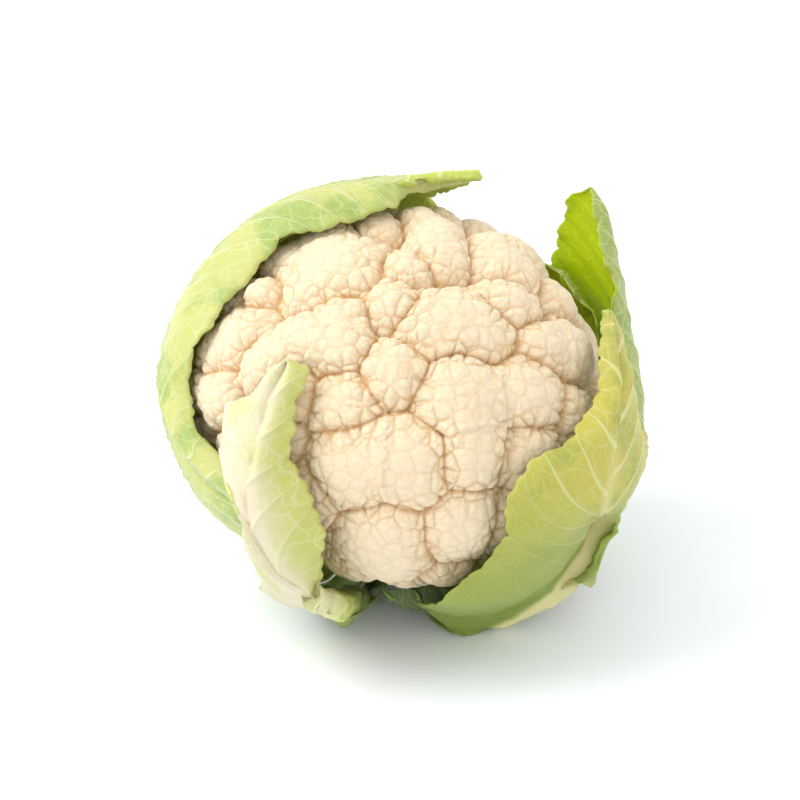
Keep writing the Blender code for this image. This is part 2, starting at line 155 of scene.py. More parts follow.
def new_finish(name, values):
    """A new material with its uniform values on the shader's own sockets."""
    made = bpy.data.materials.new(name)
    made.use_nodes = True
    shader = made.node_tree.nodes["Principled BSDF"]
    for socket, value in values.items():
        shader.inputs[socket].default_value = value
    return made, made.node_tree, shader


def painted(tree, ground, *layers):
    """Colours laid over a ground one after another, each as strong as its share."""
    ground = linear(ground) if isinstance(ground, str) else ground
    for share, tint in layers:
        tint = linear(tint) if isinstance(tint, str) else tint
        mix = add(tree, "ShaderNodeMix", {"Factor": share, 6: ground, 7: tint}, data_type="RGBA")
        ground = mix.outputs[2]
    return ground


print("mid grey #808080 is", round(linear("#808080")[0], 3), "in linear light")

# %% [markdown]
# ## Helpers for meshes
#
# A piece is a list of points with faces between them. The points could be moved one by one, but numpy
# takes them all at once, which is much faster. Each finished piece is kept as a plain mesh in metres and
# is handed over with the solid part that it replaces.

# %% Helpers for meshes and pieces
def positions(mesh):
    found = np.empty(3 * len(mesh.vertices))
    mesh.vertices.foreach_get("co", found)
    return found.reshape(-1, 3)


def place(mesh, points):
    """Writes points about the head's middle, in millimetres, as vertices in metres."""
    mesh.vertices.foreach_set("co", ((points + CENTRE) * MM).ravel())
    mesh.update()


def show(name, mesh):
    made = bpy.data.objects.new(name, mesh)
    bpy.context.scene.collection.objects.link(made)
    return made


def write_points(mesh, name, kind, values):
    field = "vector" if kind == "FLOAT_VECTOR" else "value"
    layer = mesh.attributes.new(name, kind, "POINT")
    layer.data.foreach_set(field, np.asarray(values, np.float32).ravel())


def hand_over(piece, node):
    """The finished piece stands for a solid part and moves with the head."""
    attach(piece, "root")
    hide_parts(node)
    piece.data.calc_loop_triangles()
    print(f"{piece.name}: {len(piece.data.loop_triangles)} triangles")


def plain_mesh(piece):
    """The object's evaluated mesh, kept without its modifiers."""
    graph = bpy.context.evaluated_depsgraph_get()
    mesh = bpy.data.meshes.new_from_object(piece.evaluated_get(graph))
    piece.modifiers.clear()
    piece.data = mesh
    return mesh


print("the head's middle is", CENTRE_HEIGHT * MM, "m above the surface")

# %% [markdown]
# ## Where the florets are
#
# The curd is a bunch of florets, each a dome that has grown until it met its neighbours. The front ones
# are placed as the real head shows them, by where their middles lie from the front and by their radii.
# Those on the hidden sides follow a sunflower's spiral, which is how a real head sets its florets too.

# %% Florets: places and radii
GOLDEN_ANGLE = math.pi * (3 - math.sqrt(5))
FRONT_FLORETS = [
    (-28, 50, 23), (-6, 38, 11), (1, 52, 9), (-66, 25, 16), (-56, 42, 7),
    (-52, 14, 13), (-38, 23, 12), (-24, 32, 11), (-25, 20, 13), (-5, 12, 13),
    (-23, -2, 14), (11, 31, 16), (27, 30, 16), (40, 38, 13), (53, 22, 11),
    (61, 40, 11), (21, 2, 17), (49, 2, 15), (25, -20, 14), (-19, -23, 19),
    (3, -23, 17), (-8, -56, 20), (22, -48, 16), (42, 52, 15), (13, 57, 12),
    (14, 66, 9), (35, 61, 7), (66, 21, 12), (-72, 0, 12), (-66, -19, 10),
    (-51, -15, 13), (-40, -41, 14), (51, -23, 14), (44, -49, 14), (66, -8, 12),
    (80, 2, 10), (79, -14, 9), (-81, 5, 11), (-79, -12, 9), (-77, 20, 10),
    (-30, 66, 12), (-12, 71, 10), (5, 73, 9), (-50, 56, 9),
]  # fmt: skip
HIDDEN_FLORET_RADIUS = 12.0
HIDDEN_FLORETS = 96
LOWEST_FLORET_ANGLE = math.radians(118)
FLORET_CROWDING = 0.8
FLORET_ROUNDNESS = 1.5


def beyond(points):
    return np.linalg.norm(points, axis=-1) - envelope(unit(points))


def steepening(points):
    """The way that leads out of the smooth outline, as long as the way is steep."""
    step = 0.01
    sides = [beyond(points + step * axis) - beyond(points - step * axis) for axis in np.eye(3)]
    return np.stack(sides, axis=-1) / (2 * step)


def spiral_about_pole(count, widest):
    index = np.arange(count)
    height = 1 - (1 - math.cos(widest)) * (index + 0.5) / count
    across = np.sqrt(1 - height**2)
    turn = index * GOLDEN_ANGLE
    side = unit(np.cross(UP if abs(POLE @ UP) < 0.9 else RIGHT, POLE))
    about_z = np.stack([across * np.cos(turn), across * np.sin(turn), height], axis=1)
    return about_z @ np.array((side, np.cross(POLE, side), POLE))


def floret_balls():
    """Each floret is a ball under the outline, wider than the floret, that touches it at the crown."""
    crowns = [front(right, up) for right, up, _ in FRONT_FLORETS]
    radii = [radius for _, _, radius in FRONT_FLORETS]
    for direction in spiral_about_pole(HIDDEN_FLORETS, LOWEST_FLORET_ANGLE):
        radius = HIDDEN_FLORET_RADIUS * (1 + 0.25 * math.sin(7 * direction[0] + 5 * direction[2]))
        crown = direction * envelope(direction)
        apart = np.linalg.norm(np.array(crowns) - crown, axis=1)
        if (apart > FLORET_CROWDING * (np.array(radii) + radius)).all():
            crowns.append(crown)
            radii.append(radius)
    crowns = np.array(crowns)
    radii = FLORET_ROUNDNESS * np.array(radii)
    return crowns - radii[:, None] * unit(steepening(crowns)), radii


floret_centres, floret_radii = floret_balls()
seeds = bpy.data.meshes.new("floret_seeds")
seeds.from_pydata(floret_centres.tolist(), [], [])
write_points(seeds, "radius", "FLOAT", floret_radii)
floret_seeds = show("floret_seeds", seeds)
print(len(floret_radii), "florets, radius", round(min(floret_radii), 1), "to", round(max(floret_radii), 1))

# %% [markdown]
# ## The heart of the curd
#
# Between the florets one looks down to the branches that carry them, and below the rim the branches show
# as ribs. Both are a smooth body a little inside the outline. It only has to stop the view in the
# creases, so a ball of a few thousand faces pushed out by the outline's formula is enough.

# %% The branches under the florets
CREASE_FLOOR = 11.0
UNDERSIDE_RIDGES = 11
RIDGE_HEIGHT = 1.6


def branch_reach(directions):
    along = directions @ POLE
    turn = np.arctan2(directions @ NORTH, directions @ EAST)
    ribs = RIDGE_HEIGHT * np.cos(UNDERSIDE_RIDGES * turn) * np.clip(-4 * along, 0, 1) * (1 + along)
    floor = envelope(directions) - CREASE_FLOOR * np.clip(1.9 + 2.2 * along, 0, 1)
    return np.where(along < 0, floor + ribs - RIDGE_HEIGHT * (1 + along), floor)


ball = bmesh.new()
bmesh.ops.create_icosphere(ball, subdivisions=6, radius=1)
heart = bpy.data.meshes.new("heart")
ball.to_mesh(heart)
ball.free()
heart_directions = unit(positions(heart))
heart.vertices.foreach_set("co", (heart_directions * branch_reach(heart_directions)[:, None]).ravel())
branch_heart = show("branch_heart", heart)
print("branches reach", round(branch_reach(heart_directions).max(), 1), "mm from the middle")

# %% [markdown]
# ## The skin that is wrapped on
#
# The relief could be built from thousands of small balls, but those make a mesh that cuts through itself
# and is heavy. Here a ball of fine triangles is shrunk onto the florets instead, like cloth pulled tight,
# so the curd stays one closed skin. There are four times as many triangles to an area on the crown and the
# front, because the back is seen from further off and the underside hides in the leaves.

# %% A ball of triangles, finer to the front
FINE_SIDE = unit(0.8 * NEAR + 0.5 * POLE)
ball = bmesh.new()
bmesh.ops.create_icosphere(ball, subdivisions=7, radius=1)
fine_faces = [face for face in ball.faces if np.array(face.calc_center_median()) @ FINE_SIDE > 0.06]
fine_edges = list({edge for face in fine_faces for edge in face.edges})
bmesh.ops.subdivide_edges(ball, edges=fine_edges, cuts=1, use_grid_fill=True)
bmesh.ops.triangulate(ball, faces=[face for face in ball.faces if len(face.verts) > 3])
skin = bpy.data.meshes.new("curd_buds")
ball.to_mesh(skin)
ball.free()
skin.vertices.foreach_set("co", unit(positions(skin)).ravel())
curd = show("curd_buds", skin)
print("skin:", len(skin.polygons), "triangles")

# %% [markdown]
# ## Where one floret meets the next
#
# Two neighbouring florets meet in a plane, as two soap bubbles do. The distance of each point of the skin
# to the nearest of those planes is worth storing: the crease is cut along it, and the lumps of a floret,
# which are smooth and shallow at its crown and stand out like beads at its rim, grow with it. Some of the
# front domes grew as one floret. Between those there is no crease, only a dip, and it is filled a little.

# %% The distances to the nearest crease and the nearest dip
FAR_OFF = 12.0
GROWN_AS_ONE = [
    (0, 40, 43), (5, 6, 7, 8), (11, 12), (16, 17, 18), (19, 20), (24, 25, 42), (23, 26), (14, 27),
    (3, 39), (28, 37), (29, 38),
]  # fmt: skip
floret_of = np.arange(len(floret_radii))
for first, *others in GROWN_AS_ONE:
    floret_of[others] = first


def border_distances(directions):
    to_crease = np.full(len(directions), FAR_OFF)
    to_dip = np.full(len(directions), FAR_OFF)
    sizes = floret_radii**2 - (floret_centres**2).sum(axis=1)
    for start in range(0, len(directions), 8192):
        some = directions[start : start + 8192]
        along = some @ floret_centres.T
        inside = sizes + along**2
        leaving = np.where((inside > 0) & (along > 0), along + np.sqrt(np.maximum(inside, 0)), 0)
        owner = leaving.argmax(axis=1)
        furthest = leaving.max(axis=1)
        points = some * furthest[:, None]
        outside = ((points[:, None] - floret_centres) ** 2).sum(axis=2) - floret_radii**2
        apart = np.linalg.norm(floret_centres[owner][:, None] - floret_centres, axis=2)
        planes = outside / (2 * np.maximum(apart, 1e-6))
        planes[np.arange(len(some)), owner] = FAR_OFF
        planes[furthest <= branch_reach(some)] = FAR_OFF
        same = floret_of[owner][:, None] == floret_of
        to_crease[start : start + 8192] = np.where(same, FAR_OFF, planes).min(axis=1)
        to_dip[start : start + 8192] = np.where(same, planes, FAR_OFF).min(axis=1)
    return np.minimum(to_crease, FAR_OFF), np.minimum(to_dip, FAR_OFF)


skin_directions = positions(skin)
wander = np.sin(7.1 * skin_directions[:, [1, 2, 0]] + 1.3)
wander += 0.6 * np.sin(17.3 * skin_directions[:, [2, 0, 1]])
to_crease, to_dip = border_distances(unit(skin_directions + 0.013 * wander))
write_points(skin, "to_crease", "FLOAT", to_crease)
write_points(skin, "to_dip", "FLOAT", to_dip)
print("skin within a millimetre of a crease:", round(100 * (to_crease < 1).mean()), "%")

# %% [markdown]
# ## Lumps and buds
#
# A floret repeats itself: it is a dome of lumps, and each lump is a cushion of buds. Grown tight, each
# presses its neighbours flat, so its top is nearly level and falls off into a thin crack. A Voronoi
# pattern has just that rule, because every cell is the ground nearest to its own seed, and the distance
# to the cell's border gives the profile. Lumps are as wide as a pea, and buds half as wide. Both stand
# out most beside a crease, where they have room, and least on a floret's crown.

# %% Cushions packed tight
LUMP_WIDTH = 6.6
LUMP_HEIGHT = 1.2
BUD_WIDTH = 3.4
BUD_HEIGHT = 0.25
BARE_CROWN = 0.42
UNEVEN = 0.75


def cushions(tree, where, often, rim):
    """Cushions packed tight: 0 in the cracks between them, 1 on their tops, rounded over the rim's share."""
    cells = add(
        tree, "ShaderNodeTexVoronoi", {"Vector": where, "Scale": often, "Randomness": UNEVEN},
        voronoi_dimensions="3D", feature="DISTANCE_TO_EDGE",
    )  # fmt: skip
    fall = add(tree, "ShaderNodeMapRange", {"Value": cells, "From Max": rim, "To Min": 1.0, "To Max": 0.0})
    square = add(tree, "ShaderNodeMath", {0: fall, 1: fall}, operation="MULTIPLY")
    return add(tree, "ShaderNodeMath", {0: 1.0, 1: square}, operation="SUBTRACT")


def near_crease(tree, distance):
    """How much a floret's lumps stand out at this distance from its crease: least at its crown."""
    limits = {"Value": distance, "From Min": 1.5, "From Max": 9.0, "To Min": 1.0, "To Max": BARE_CROWN}
    return add(tree, "ShaderNodeMapRange", limits, interpolation_type="SMOOTHSTEP")


print("lumps", LUMP_WIDTH, "mm wide, buds", BUD_WIDTH)

# %% [markdown]
# ## Pulling the skin onto the florets
#
# Every point of the skin looks in from far outside, towards the middle of the head, and moves to where it
# first meets a floret or a branch. A shrinkwrap modifier could do this too, but in a tree the florets can
# be balls set on the points of the list above, so they never have to be built as objects.

# %% Geometry Nodes: the skin on the florets
FAR_OUTSIDE = 200.0


def wrapped_skin(tree, given):
    florets = add(tree, "GeometryNodeObjectInfo", {"Object": given["Florets"]}).outputs["Geometry"]
    branches = add(tree, "GeometryNodeObjectInfo", {"Object": given["Branches"]}).outputs["Geometry"]
    radius = add(tree, "GeometryNodeInputNamedAttribute", {"Name": "radius"}, data_type="FLOAT")
    dome = add(tree, "GeometryNodeMeshIcoSphere", {"Radius": 1.0, "Subdivisions": 5})
    domes = add(tree, "GeometryNodeInstanceOnPoints", {"Points": florets, "Instance": dome, "Scale": radius})
    body = add(tree, "GeometryNodeJoinGeometry", {0: add(tree, "GeometryNodeRealizeInstances", {0: domes})})
    tree.links.new(branches, body.inputs[0])
    here = add(tree, "GeometryNodeInputPosition")
    far = add(tree, "ShaderNodeVectorMath", {0: here, 3: FAR_OUTSIDE}, operation="SCALE")
    inward = add(tree, "ShaderNodeVectorMath", {0: here, 3: -1.0}, operation="SCALE")
    ray = add(
        tree, "GeometryNodeRaycast",
        {"Target Geometry": body, "Source Position": far, "Ray Direction": inward,
         "Ray Length": 1.25 * FAR_OUTSIDE},
    ).outputs  # fmt: skip
    met = {"Geometry": given["Geometry"], "Selection": ray["Is Hit"], "Position": ray["Hit Position"]}
    return add(tree, "GeometryNodeSetPosition", met)


print("the skin looks in from", FAR_OUTSIDE, "mm")

# %% [markdown]
# ## How far each point is lifted
#
# Four heights are added up. Lumps and buds rise from the skin. Along a crease the skin is cut in, and in
# the dip between domes that grew as one it is filled a little; both fade with the distance that was stored
# on the skin. The lumps also push the crease to and fro, so it never runs straight.

# %% Geometry Nodes: the relief
LUMP_RIM = 0.45
BUD_RIM = 0.40
CRACK_LEVEL = 0.8
SCALLOP = 0.4
DIP_FILL = 2.0
DIP_WIDTH = 3.0
CREASE_DEPTH = 2.2
CREASE_WIDTH = 0.8


def relief(tree, where, given):
    distance = add(tree, "GeometryNodeInputNamedAttribute", {"Name": "to_crease"}, data_type="FLOAT")
    to_dip = add(tree, "GeometryNodeInputNamedAttribute", {"Name": "to_dip"}, data_type="FLOAT")
    lift = 0.0
    for width, height, rim in (
        (given["Bud width"], given["Bud height"], BUD_RIM),
        (given["Lump width"], given["Lump height"], LUMP_RIM),
    ):
        often = add(tree, "ShaderNodeMath", {0: 1.0, 1: width}, operation="DIVIDE")
        cushion = cushions(tree, where, often, rim)
        tops = add(tree, "ShaderNodeMath", {0: cushion, 1: CRACK_LEVEL}, operation="SUBTRACT")
        lift = add(tree, "ShaderNodeMath", {0: tops, 1: height, 2: lift}, operation="MULTIPLY_ADD")
    lift = add(tree, "ShaderNodeMath", {0: lift, 1: near_crease(tree, distance)}, operation="MULTIPLY")
    scallop = add(tree, "ShaderNodeMath", {0: cushion, 1: SCALLOP})
    scalloped = add(tree, "ShaderNodeMath", {0: distance, 1: scallop}, operation="MULTIPLY")
    for along, width, height in (
        (scalloped, CREASE_WIDTH, given["Crease cut"]),
        (to_dip, DIP_WIDTH, given["Dip fill"]),
    ):
        widths = add(tree, "ShaderNodeMath", {0: along, 1: -width}, operation="DIVIDE")
        fading = add(tree, "ShaderNodeMath", {0: math.e, 1: widths}, operation="POWER")
        lift = add(tree, "ShaderNodeMath", {0: fading, 1: height, 2: lift}, operation="MULTIPLY_ADD")
    return lift


print("creases", CREASE_DEPTH, "mm deep, fading over", CREASE_WIDTH)

# %% [markdown]
# ## The whole tree
#
# The tree wraps the skin, lifts it and hands it on in metres. Nothing in it is drawn by chance: the pattern
# depends on the place alone, which is warped a little so that the cushions aren't all alike. Two things
# stay on the mesh for the material. One is the warped place, so that it can draw its cracks in the very same
# lines. The other is how deep each point lies below its wide surroundings, where less light comes; the
# material paints shade from that depth.

# %% Geometry Nodes: the curd
WARP = 3.0
WARP_OFTEN = 0.09
SURROUNDINGS = 60
# How deep below its surroundings a point must lie to take the full painted shade in the curd's material.
FULL_SHADE_DEPTH = 3.4


def curd_tree():
    tree = bpy.data.node_groups.new("curd buds", "GeometryNodeTree")
    face = tree.interface
    face.new_socket("Geometry", in_out="INPUT", socket_type="NodeSocketGeometry")
    for kind, names in (
        ("NodeSocketObject", ("Florets", "Branches")),
        ("NodeSocketFloat", ("Crease cut", "Dip fill")),
        ("NodeSocketFloat", ("Lump width", "Lump height", "Bud width", "Bud height")),
        ("NodeSocketMaterial", ("Finish",)),
    ):
        for name in names:
            face.new_socket(name, in_out="INPUT", socket_type=kind)
    face.new_socket("Geometry", in_out="OUTPUT", socket_type="NodeSocketGeometry")
    given = add(tree, "NodeGroupInput").outputs

    spot = add(tree, "GeometryNodeInputPosition")
    noise = add(tree, "ShaderNodeTexNoise", {"Vector": spot, "Scale": WARP_OFTEN, "Detail": 1.0})
    shift = add(tree, "ShaderNodeVectorMath", {0: noise.outputs["Color"], 3: WARP}, operation="SCALE")
    warped = add(tree, "ShaderNodeVectorMath", {0: spot, 1: shift})
    placed = add(
        tree, "GeometryNodeStoreNamedAttribute",
        {"Geometry": wrapped_skin(tree, given), "Name": "bud_place", "Value": warped},
        data_type="FLOAT_VECTOR", domain="POINT",
    )  # fmt: skip
    outwards = add(tree, "ShaderNodeVectorMath", {0: spot}, operation="NORMALIZE")
    height = relief(tree, warped, given)
    offset = add(tree, "ShaderNodeVectorMath", {0: outwards, 3: height}, operation="SCALE")
    lifted = add(tree, "GeometryNodeSetPosition", {"Geometry": placed, "Offset": offset})

    # The depth of each point below its wide surroundings, stored under the name crease: the material paints
    # shade from it.
    blur = {"Value": spot, "Iterations": SURROUNDINGS, "Weight": 1.0}
    around = add(tree, "GeometryNodeBlurAttribute", blur, data_type="FLOAT_VECTOR")
    gap = add(tree, "ShaderNodeVectorMath", {0: around, 1: spot}, operation="SUBTRACT")
    deep = add(tree, "ShaderNodeVectorMath", {0: gap, 1: outwards}, operation="DOT_PRODUCT")
    share = add(tree, "ShaderNodeMath", {0: deep.outputs["Value"], 1: FULL_SHADE_DEPTH}, operation="DIVIDE")
    shape = add(
        tree, "GeometryNodeStoreNamedAttribute", {"Geometry": lifted, "Name": "crease", "Value": share},
        data_type="FLOAT", domain="POINT",
    )  # fmt: skip
    metres = add(
        tree, "GeometryNodeTransform",
        {"Geometry": shape, "Translation": tuple(CENTRE * MM), "Scale": (MM, MM, MM)},
    )  # fmt: skip
    smooth = add(tree, "GeometryNodeSetShadeSmooth", {"Geometry": metres})
    whole = add(tree, "GeometryNodeRealizeInstances", {"Geometry": smooth})
    finished = add(tree, "GeometryNodeSetMaterial", {"Geometry": whole, "Material": given["Finish"]})
    add(tree, "NodeGroupOutput", {"Geometry": finished})
    return tree


print("cushions warped by up to", WARP, "mm")

# %% [markdown]
# ## What the curd looks like
#
# A fresh curd is moist, matte flesh. Light goes a little way in and comes back warm, so its shadows are
# never grey, and the cracks look buff. The colour could be painted, but the place and the depths that the
# tree stores say where the cracks and the deep creases are, so the material reads those. The creases get a
# darker tan. It is partly their own yellowed colour and partly painted shade where the skin lies deep below
# its surroundings. It draws the same lumps and buds again, sharper than the mesh can, and on them the tips
# of single flowers, which are about two millimetres wide and are left to a bump.

# %% Material: fresh curd flesh
CREAM = "#E0D0B3"
CRACK = "#D6B27E"
# A tan for the creases, partly their own yellowed colour and partly painted shade in the deep hollows.
CREASE_TAN_AND_SHADE = "#D09F62"
TIP_WIDTH = 1.9
MOIST_FLESH = {
    "Roughness": 0.55, "IOR": 1.38, "Specular IOR Level": 0.3,
    "Subsurface Weight": 0.5, "Subsurface Radius": (1.0, 0.70, 0.42), "Subsurface Scale": 0.0035,
}  # fmt: skip


def curd_flesh():
    made, tree, shader = new_finish("fresh curd flesh", MOIST_FLESH)
    where = add(tree, "ShaderNodeAttribute", attribute_name="bud_place").outputs["Vector"]
    distance = add(tree, "ShaderNodeAttribute", attribute_name="to_crease").outputs["Fac"]
    deep = add(tree, "ShaderNodeAttribute", attribute_name="crease").outputs["Fac"]
    lumps = cushions(tree, where, 1 / LUMP_WIDTH, 0.14)
    buds = cushions(tree, where, 1 / BUD_WIDTH, 0.38)
    tips = cushions(tree, where, 1 / TIP_WIDTH, 0.45)
    out_of_crown = near_crease(tree, distance)

    lump_lines = {"Value": lumps, "From Min": 1.0, "From Max": 0.0, "To Max": 0.75}
    bud_lines = {"Value": buds, "From Min": 1.0, "From Max": 0.0, "To Max": 0.3}
    wide_lines = add(tree, "ShaderNodeMapRange", lump_lines)
    fine_lines = add(tree, "ShaderNodeMapRange", bud_lines)
    lines = add(tree, "ShaderNodeMath", {0: wide_lines, 1: fine_lines}, operation="MAXIMUM")
    cracked = add(tree, "ShaderNodeMath", {0: lines, 1: out_of_crown}, operation="MULTIPLY")
    scallop = add(tree, "ShaderNodeMath", {0: lumps, 1: SCALLOP})
    scalloped = add(tree, "ShaderNodeMath", {0: distance, 1: scallop}, operation="MULTIPLY")
    crease_line = {"Value": scalloped, "From Min": 1.1, "From Max": 0.1, "To Max": 0.75}
    in_crease = add(tree, "ShaderNodeMapRange", crease_line)
    # Painted shade: the deeper a point lies below its surroundings, the more of the crease tan it gets.
    painted_depth_shade = add(tree, "ShaderNodeMapRange", {"Value": deep, "From Min": 0.35, "From Max": 1.3})
    crease_tan_and_shade = add(tree, "ShaderNodeMath", {0: in_crease, 1: painted_depth_shade}, operation="MAXIMUM")
    colour = painted(tree, CREAM, (cracked, CRACK), (crease_tan_and_shade, CREASE_TAN_AND_SHADE))
    tree.links.new(colour, shader.inputs["Base Color"])

    on_lumps = add(tree, "ShaderNodeMath", {0: buds, 1: 0.6}, operation="MULTIPLY")
    swell = add(tree, "ShaderNodeMath", {0: lumps, 1: 0.3, 2: on_lumps}, operation="MULTIPLY_ADD")
    swell = add(tree, "ShaderNodeMath", {0: swell, 1: out_of_crown}, operation="MULTIPLY")
    height = add(tree, "ShaderNodeMath", {0: tips, 1: 0.12, 2: swell}, operation="MULTIPLY_ADD")
    bump = add(tree, "ShaderNodeBump", {"Height": height, "Strength": 0.6, "Distance": 0.0008})
    tree.links.new(bump.outputs[0], shader.inputs["Normal"])
    return made


curd_finish = curd_flesh()
print("curd material:", curd_finish.name)

# %% [markdown]
# ## The curd itself
#
# Now the tree gets its sizes and runs. Its result is kept as a plain mesh, because only a plain mesh stays
# the same wherever it is taken, and the two helpers that it looked at can go.

# %% Build the curd
buds = curd.modifiers.new("buds", "NODES")
buds.node_group = curd_tree()
tree_inputs = [item for item in buds.node_group.interface.items_tree if item.in_out == "INPUT"]
sockets = {item.name: item.identifier for item in tree_inputs}
for name, value in {
    "Florets": floret_seeds, "Branches": branch_heart, "Crease cut": -CREASE_DEPTH, "Dip fill": DIP_FILL,
    "Lump width": LUMP_WIDTH, "Lump height": LUMP_HEIGHT, "Bud width": BUD_WIDTH,
    "Bud height": BUD_HEIGHT, "Finish": curd_finish,
}.items():  # fmt: skip
    buds[sockets[name]] = value
plain_mesh(curd)
for helper in (floret_seeds, branch_heart):
    bpy.data.objects.remove(helper, do_unlink=True)
hand_over(curd, "curd")
low, high = positions(curd.data).min(axis=0), positions(curd.data).max(axis=0)
print("curd box, mm:", np.round(low / MM, 1), np.round(high / MM, 1))

# %% [markdown]
# ## How a leaf lies
#
# A wrapper leaf grows from the side of the stem and hugs the curd. A sheet could be sculpted over it by
# hand, but three smooth curves hold all that matters: the midrib and the two margins, each a few points
# that say where the leaf shows and how far it stands over the curd. The blade is spanned between them and
# then lifted clear of whatever lies under it, the curd and the leaves that were put on before.

# %% Points over the curd
STEM_RADIUS = 25.0
STEM_TOP = CURD_UNDER + 0.4
STEM_END = 80.0
STEM_GAP = 0.35
INNER_TIER = 57.0
OUTER_TIER = 68.0


def back(right, up, lift=0.0):
    return front(right, up, lift, -1.0)


def round_head(azimuth, from_pole, lift=0.0):
    """A point by its angles about the pole, in degrees, lifted over the curd."""
    turn = math.radians(azimuth)
    lean = math.radians(from_pole)
    sideways = math.cos(turn) * EAST + math.sin(turn) * NORTH
    direction = math.cos(lean) * POLE + math.sin(lean) * sideways
    return direction * (envelope(direction) + lift)


def at_stem(azimuth, depth, aside=0.0):
    """A point on the stem's side, this far below the middle, moved aside by a length round the stem."""
    turn = math.radians(azimuth) + aside / STEM_RADIUS
    sideways = math.cos(turn) * EAST + math.sin(turn) * NORTH
    return (STEM_RADIUS + STEM_GAP) * sideways - depth * POLE


def curve_through(points, at):
    """Points along a smooth curve at these shares of its length."""
    points = np.array(points, float)
    lengths = np.linalg.norm(np.diff(points, axis=0), axis=1)
    knots = np.concatenate([[0], np.cumsum(lengths)]) / lengths.sum()
    slopes = np.gradient(points, knots, axis=0)
    span = np.clip(np.searchsorted(knots, at, side="right") - 1, 0, len(knots) - 2)
    width = (knots[span + 1] - knots[span])[:, None]
    t = ((at - knots[span])[:, None]) / width
    start, end = points[span], points[span + 1]
    out, into = slopes[span] * width, slopes[span + 1] * width
    return (
        (2 * t**3 - 3 * t**2 + 1) * start
        + (t**3 - 2 * t**2 + t) * out
        + (3 * t**2 - 2 * t**3) * end
        + (t**3 - t**2) * into
    )


print("a leaf foot, mm from the middle:", np.round(at_stem(-62, OUTER_TIER), 1))

# %% [markdown]
# ## The span of a blade
#
# Rows of points run from one margin over the midrib to the other. The blade bulges a little between the
# rib and the margin, waves near the margin and is notched every few millimetres, as the edge of such a
# leaf is. Each point remembers where it is on the leaf, across and along in millimetres, so that the
# material can draw its veins sharper than the mesh can.

# %% The leaf and its grid
ACROSS = (0.0, 0.1, 0.3, 0.55, 0.8, 1.0)
BASE_HALF_WIDTH = 13.0
RIB_WIDTH = 6.0
RIB_OUTSIDE = 0.5
TOOTHED = (0.25, 0.97)
NOTCHED_FROM = 0.2
NOTCH_LENGTH = 6.5
NOTCH_DEPTH = 1.5


class Leaf:
    def __init__(self, name, azimuth, tier, midrib, left, right, **settings):
        self.name = name
        self.midrib = [at_stem(azimuth, tier), *midrib]
        self.left = [at_stem(azimuth, tier, -BASE_HALF_WIDTH), *left, midrib[-1]]
        self.right = [at_stem(azimuth, tier, BASE_HALF_WIDTH), *right, midrib[-1]]
        self.rows = settings.get("rows", 18)
        self.rib = settings.get("rib", 7.5)
        self.wave = settings.get("wave", 1.5)
        self.waves = settings.get("waves", 5)
        self.tooth = settings.get("tooth", 1.3)
        self.bulge = settings.get("bulge", 3.0)
        self.vein_spacing = settings.get("vein_spacing", 15.0)
        self.tuck = settings.get("tuck", 0.0)

    def span(self, shares, columns, fine):
        """Rows of points from stem to tip for these columns, and what each point knows about its place."""
        midrib = curve_through(self.midrib, shares)
        margins = curve_through(self.left, shares), curve_through(self.right, shares)
        along = np.concatenate([[0], np.cumsum(np.linalg.norm(np.diff(midrib, axis=0), axis=1))])
        points = np.zeros((len(shares), len(columns), 3))
        known = {key: np.zeros(points.shape[:2]) for key in ("rib", "across", "along", "share", "edge")}
        for row, s in enumerate(shares):
            for column, u in enumerate(columns):
                which = 1 if u >= 0 else 0
                v = abs(u)
                margin = margins[which][row]
                width = np.linalg.norm(margin - midrib[row])
                stretch = max(0.0, (v - ACROSS[-2]) / (1 - ACROSS[-2]))
                zigzag = 1 - 2 * abs((s * self.rows) % 2 - 1) if TOOTHED[0] < s < TOOTHED[1] else 0.0
                out = self.tooth * zigzag
                if fine and s > NOTCHED_FROM:
                    uneven = 0.6 * math.sin(along[row] / 11)
                    notch = abs(math.sin(math.pi * along[row] / NOTCH_LENGTH + uneven))
                    out += NOTCH_DEPTH * (notch**0.7 - 0.75)
                edge = v + stretch * out / max(width, 8)
                direction = unit((1 - edge) * unit(midrib[row]) + edge * unit(margin))
                reach = (1 - edge) * np.linalg.norm(midrib[row]) + edge * np.linalg.norm(margin)
                open_blade = math.sin(math.pi * min(1, 1.4 * s)) if s < 0.36 else 1.0
                reach += self.bulge * 4 * v * (1 - v) * open_blade
                turn = 2 * math.pi * self.waves * s + 2.1 * which
                reach += self.wave * math.sin(turn) * v**2 * open_blade * (1 - s**6)
                rib = self.rib * (1 - s) ** 0.8 * math.exp(-((v * width / RIB_WIDTH) ** 2))
                points[row, column] = direction * (reach + RIB_OUTSIDE * rib)
                known["rib"][row, column] = rib
                known["across"][row, column] = math.copysign(v * width, u)
                known["along"][row, column] = along[row]
                known["share"][row, column] = s
                known["edge"][row, column] = v
        return points, known


print("a leaf's notches:", NOTCH_LENGTH, "mm long and", NOTCH_DEPTH, "mm deep")

# %% [markdown]
# ## Lifted clear
#
# Leaves lie on each other without cutting through. They could be pushed apart by hand, but it is surer to
# feel for what lies below: a few rays come in round every point of the coarse grid, and the leaf is lifted
# over whatever they meet. The large shape stays that of the solid leaf, because the solid one was lifted
# on the same rows.

# %% Feeling for what lies below
LEAF_GAP = 1.6
BLADE_THICKNESS = 1.4
CURD_CLEARANCE = 2.2
FEELER_SPREAD = 0.05
FEELER_START = 400
EVENING_ROUNDS = 4


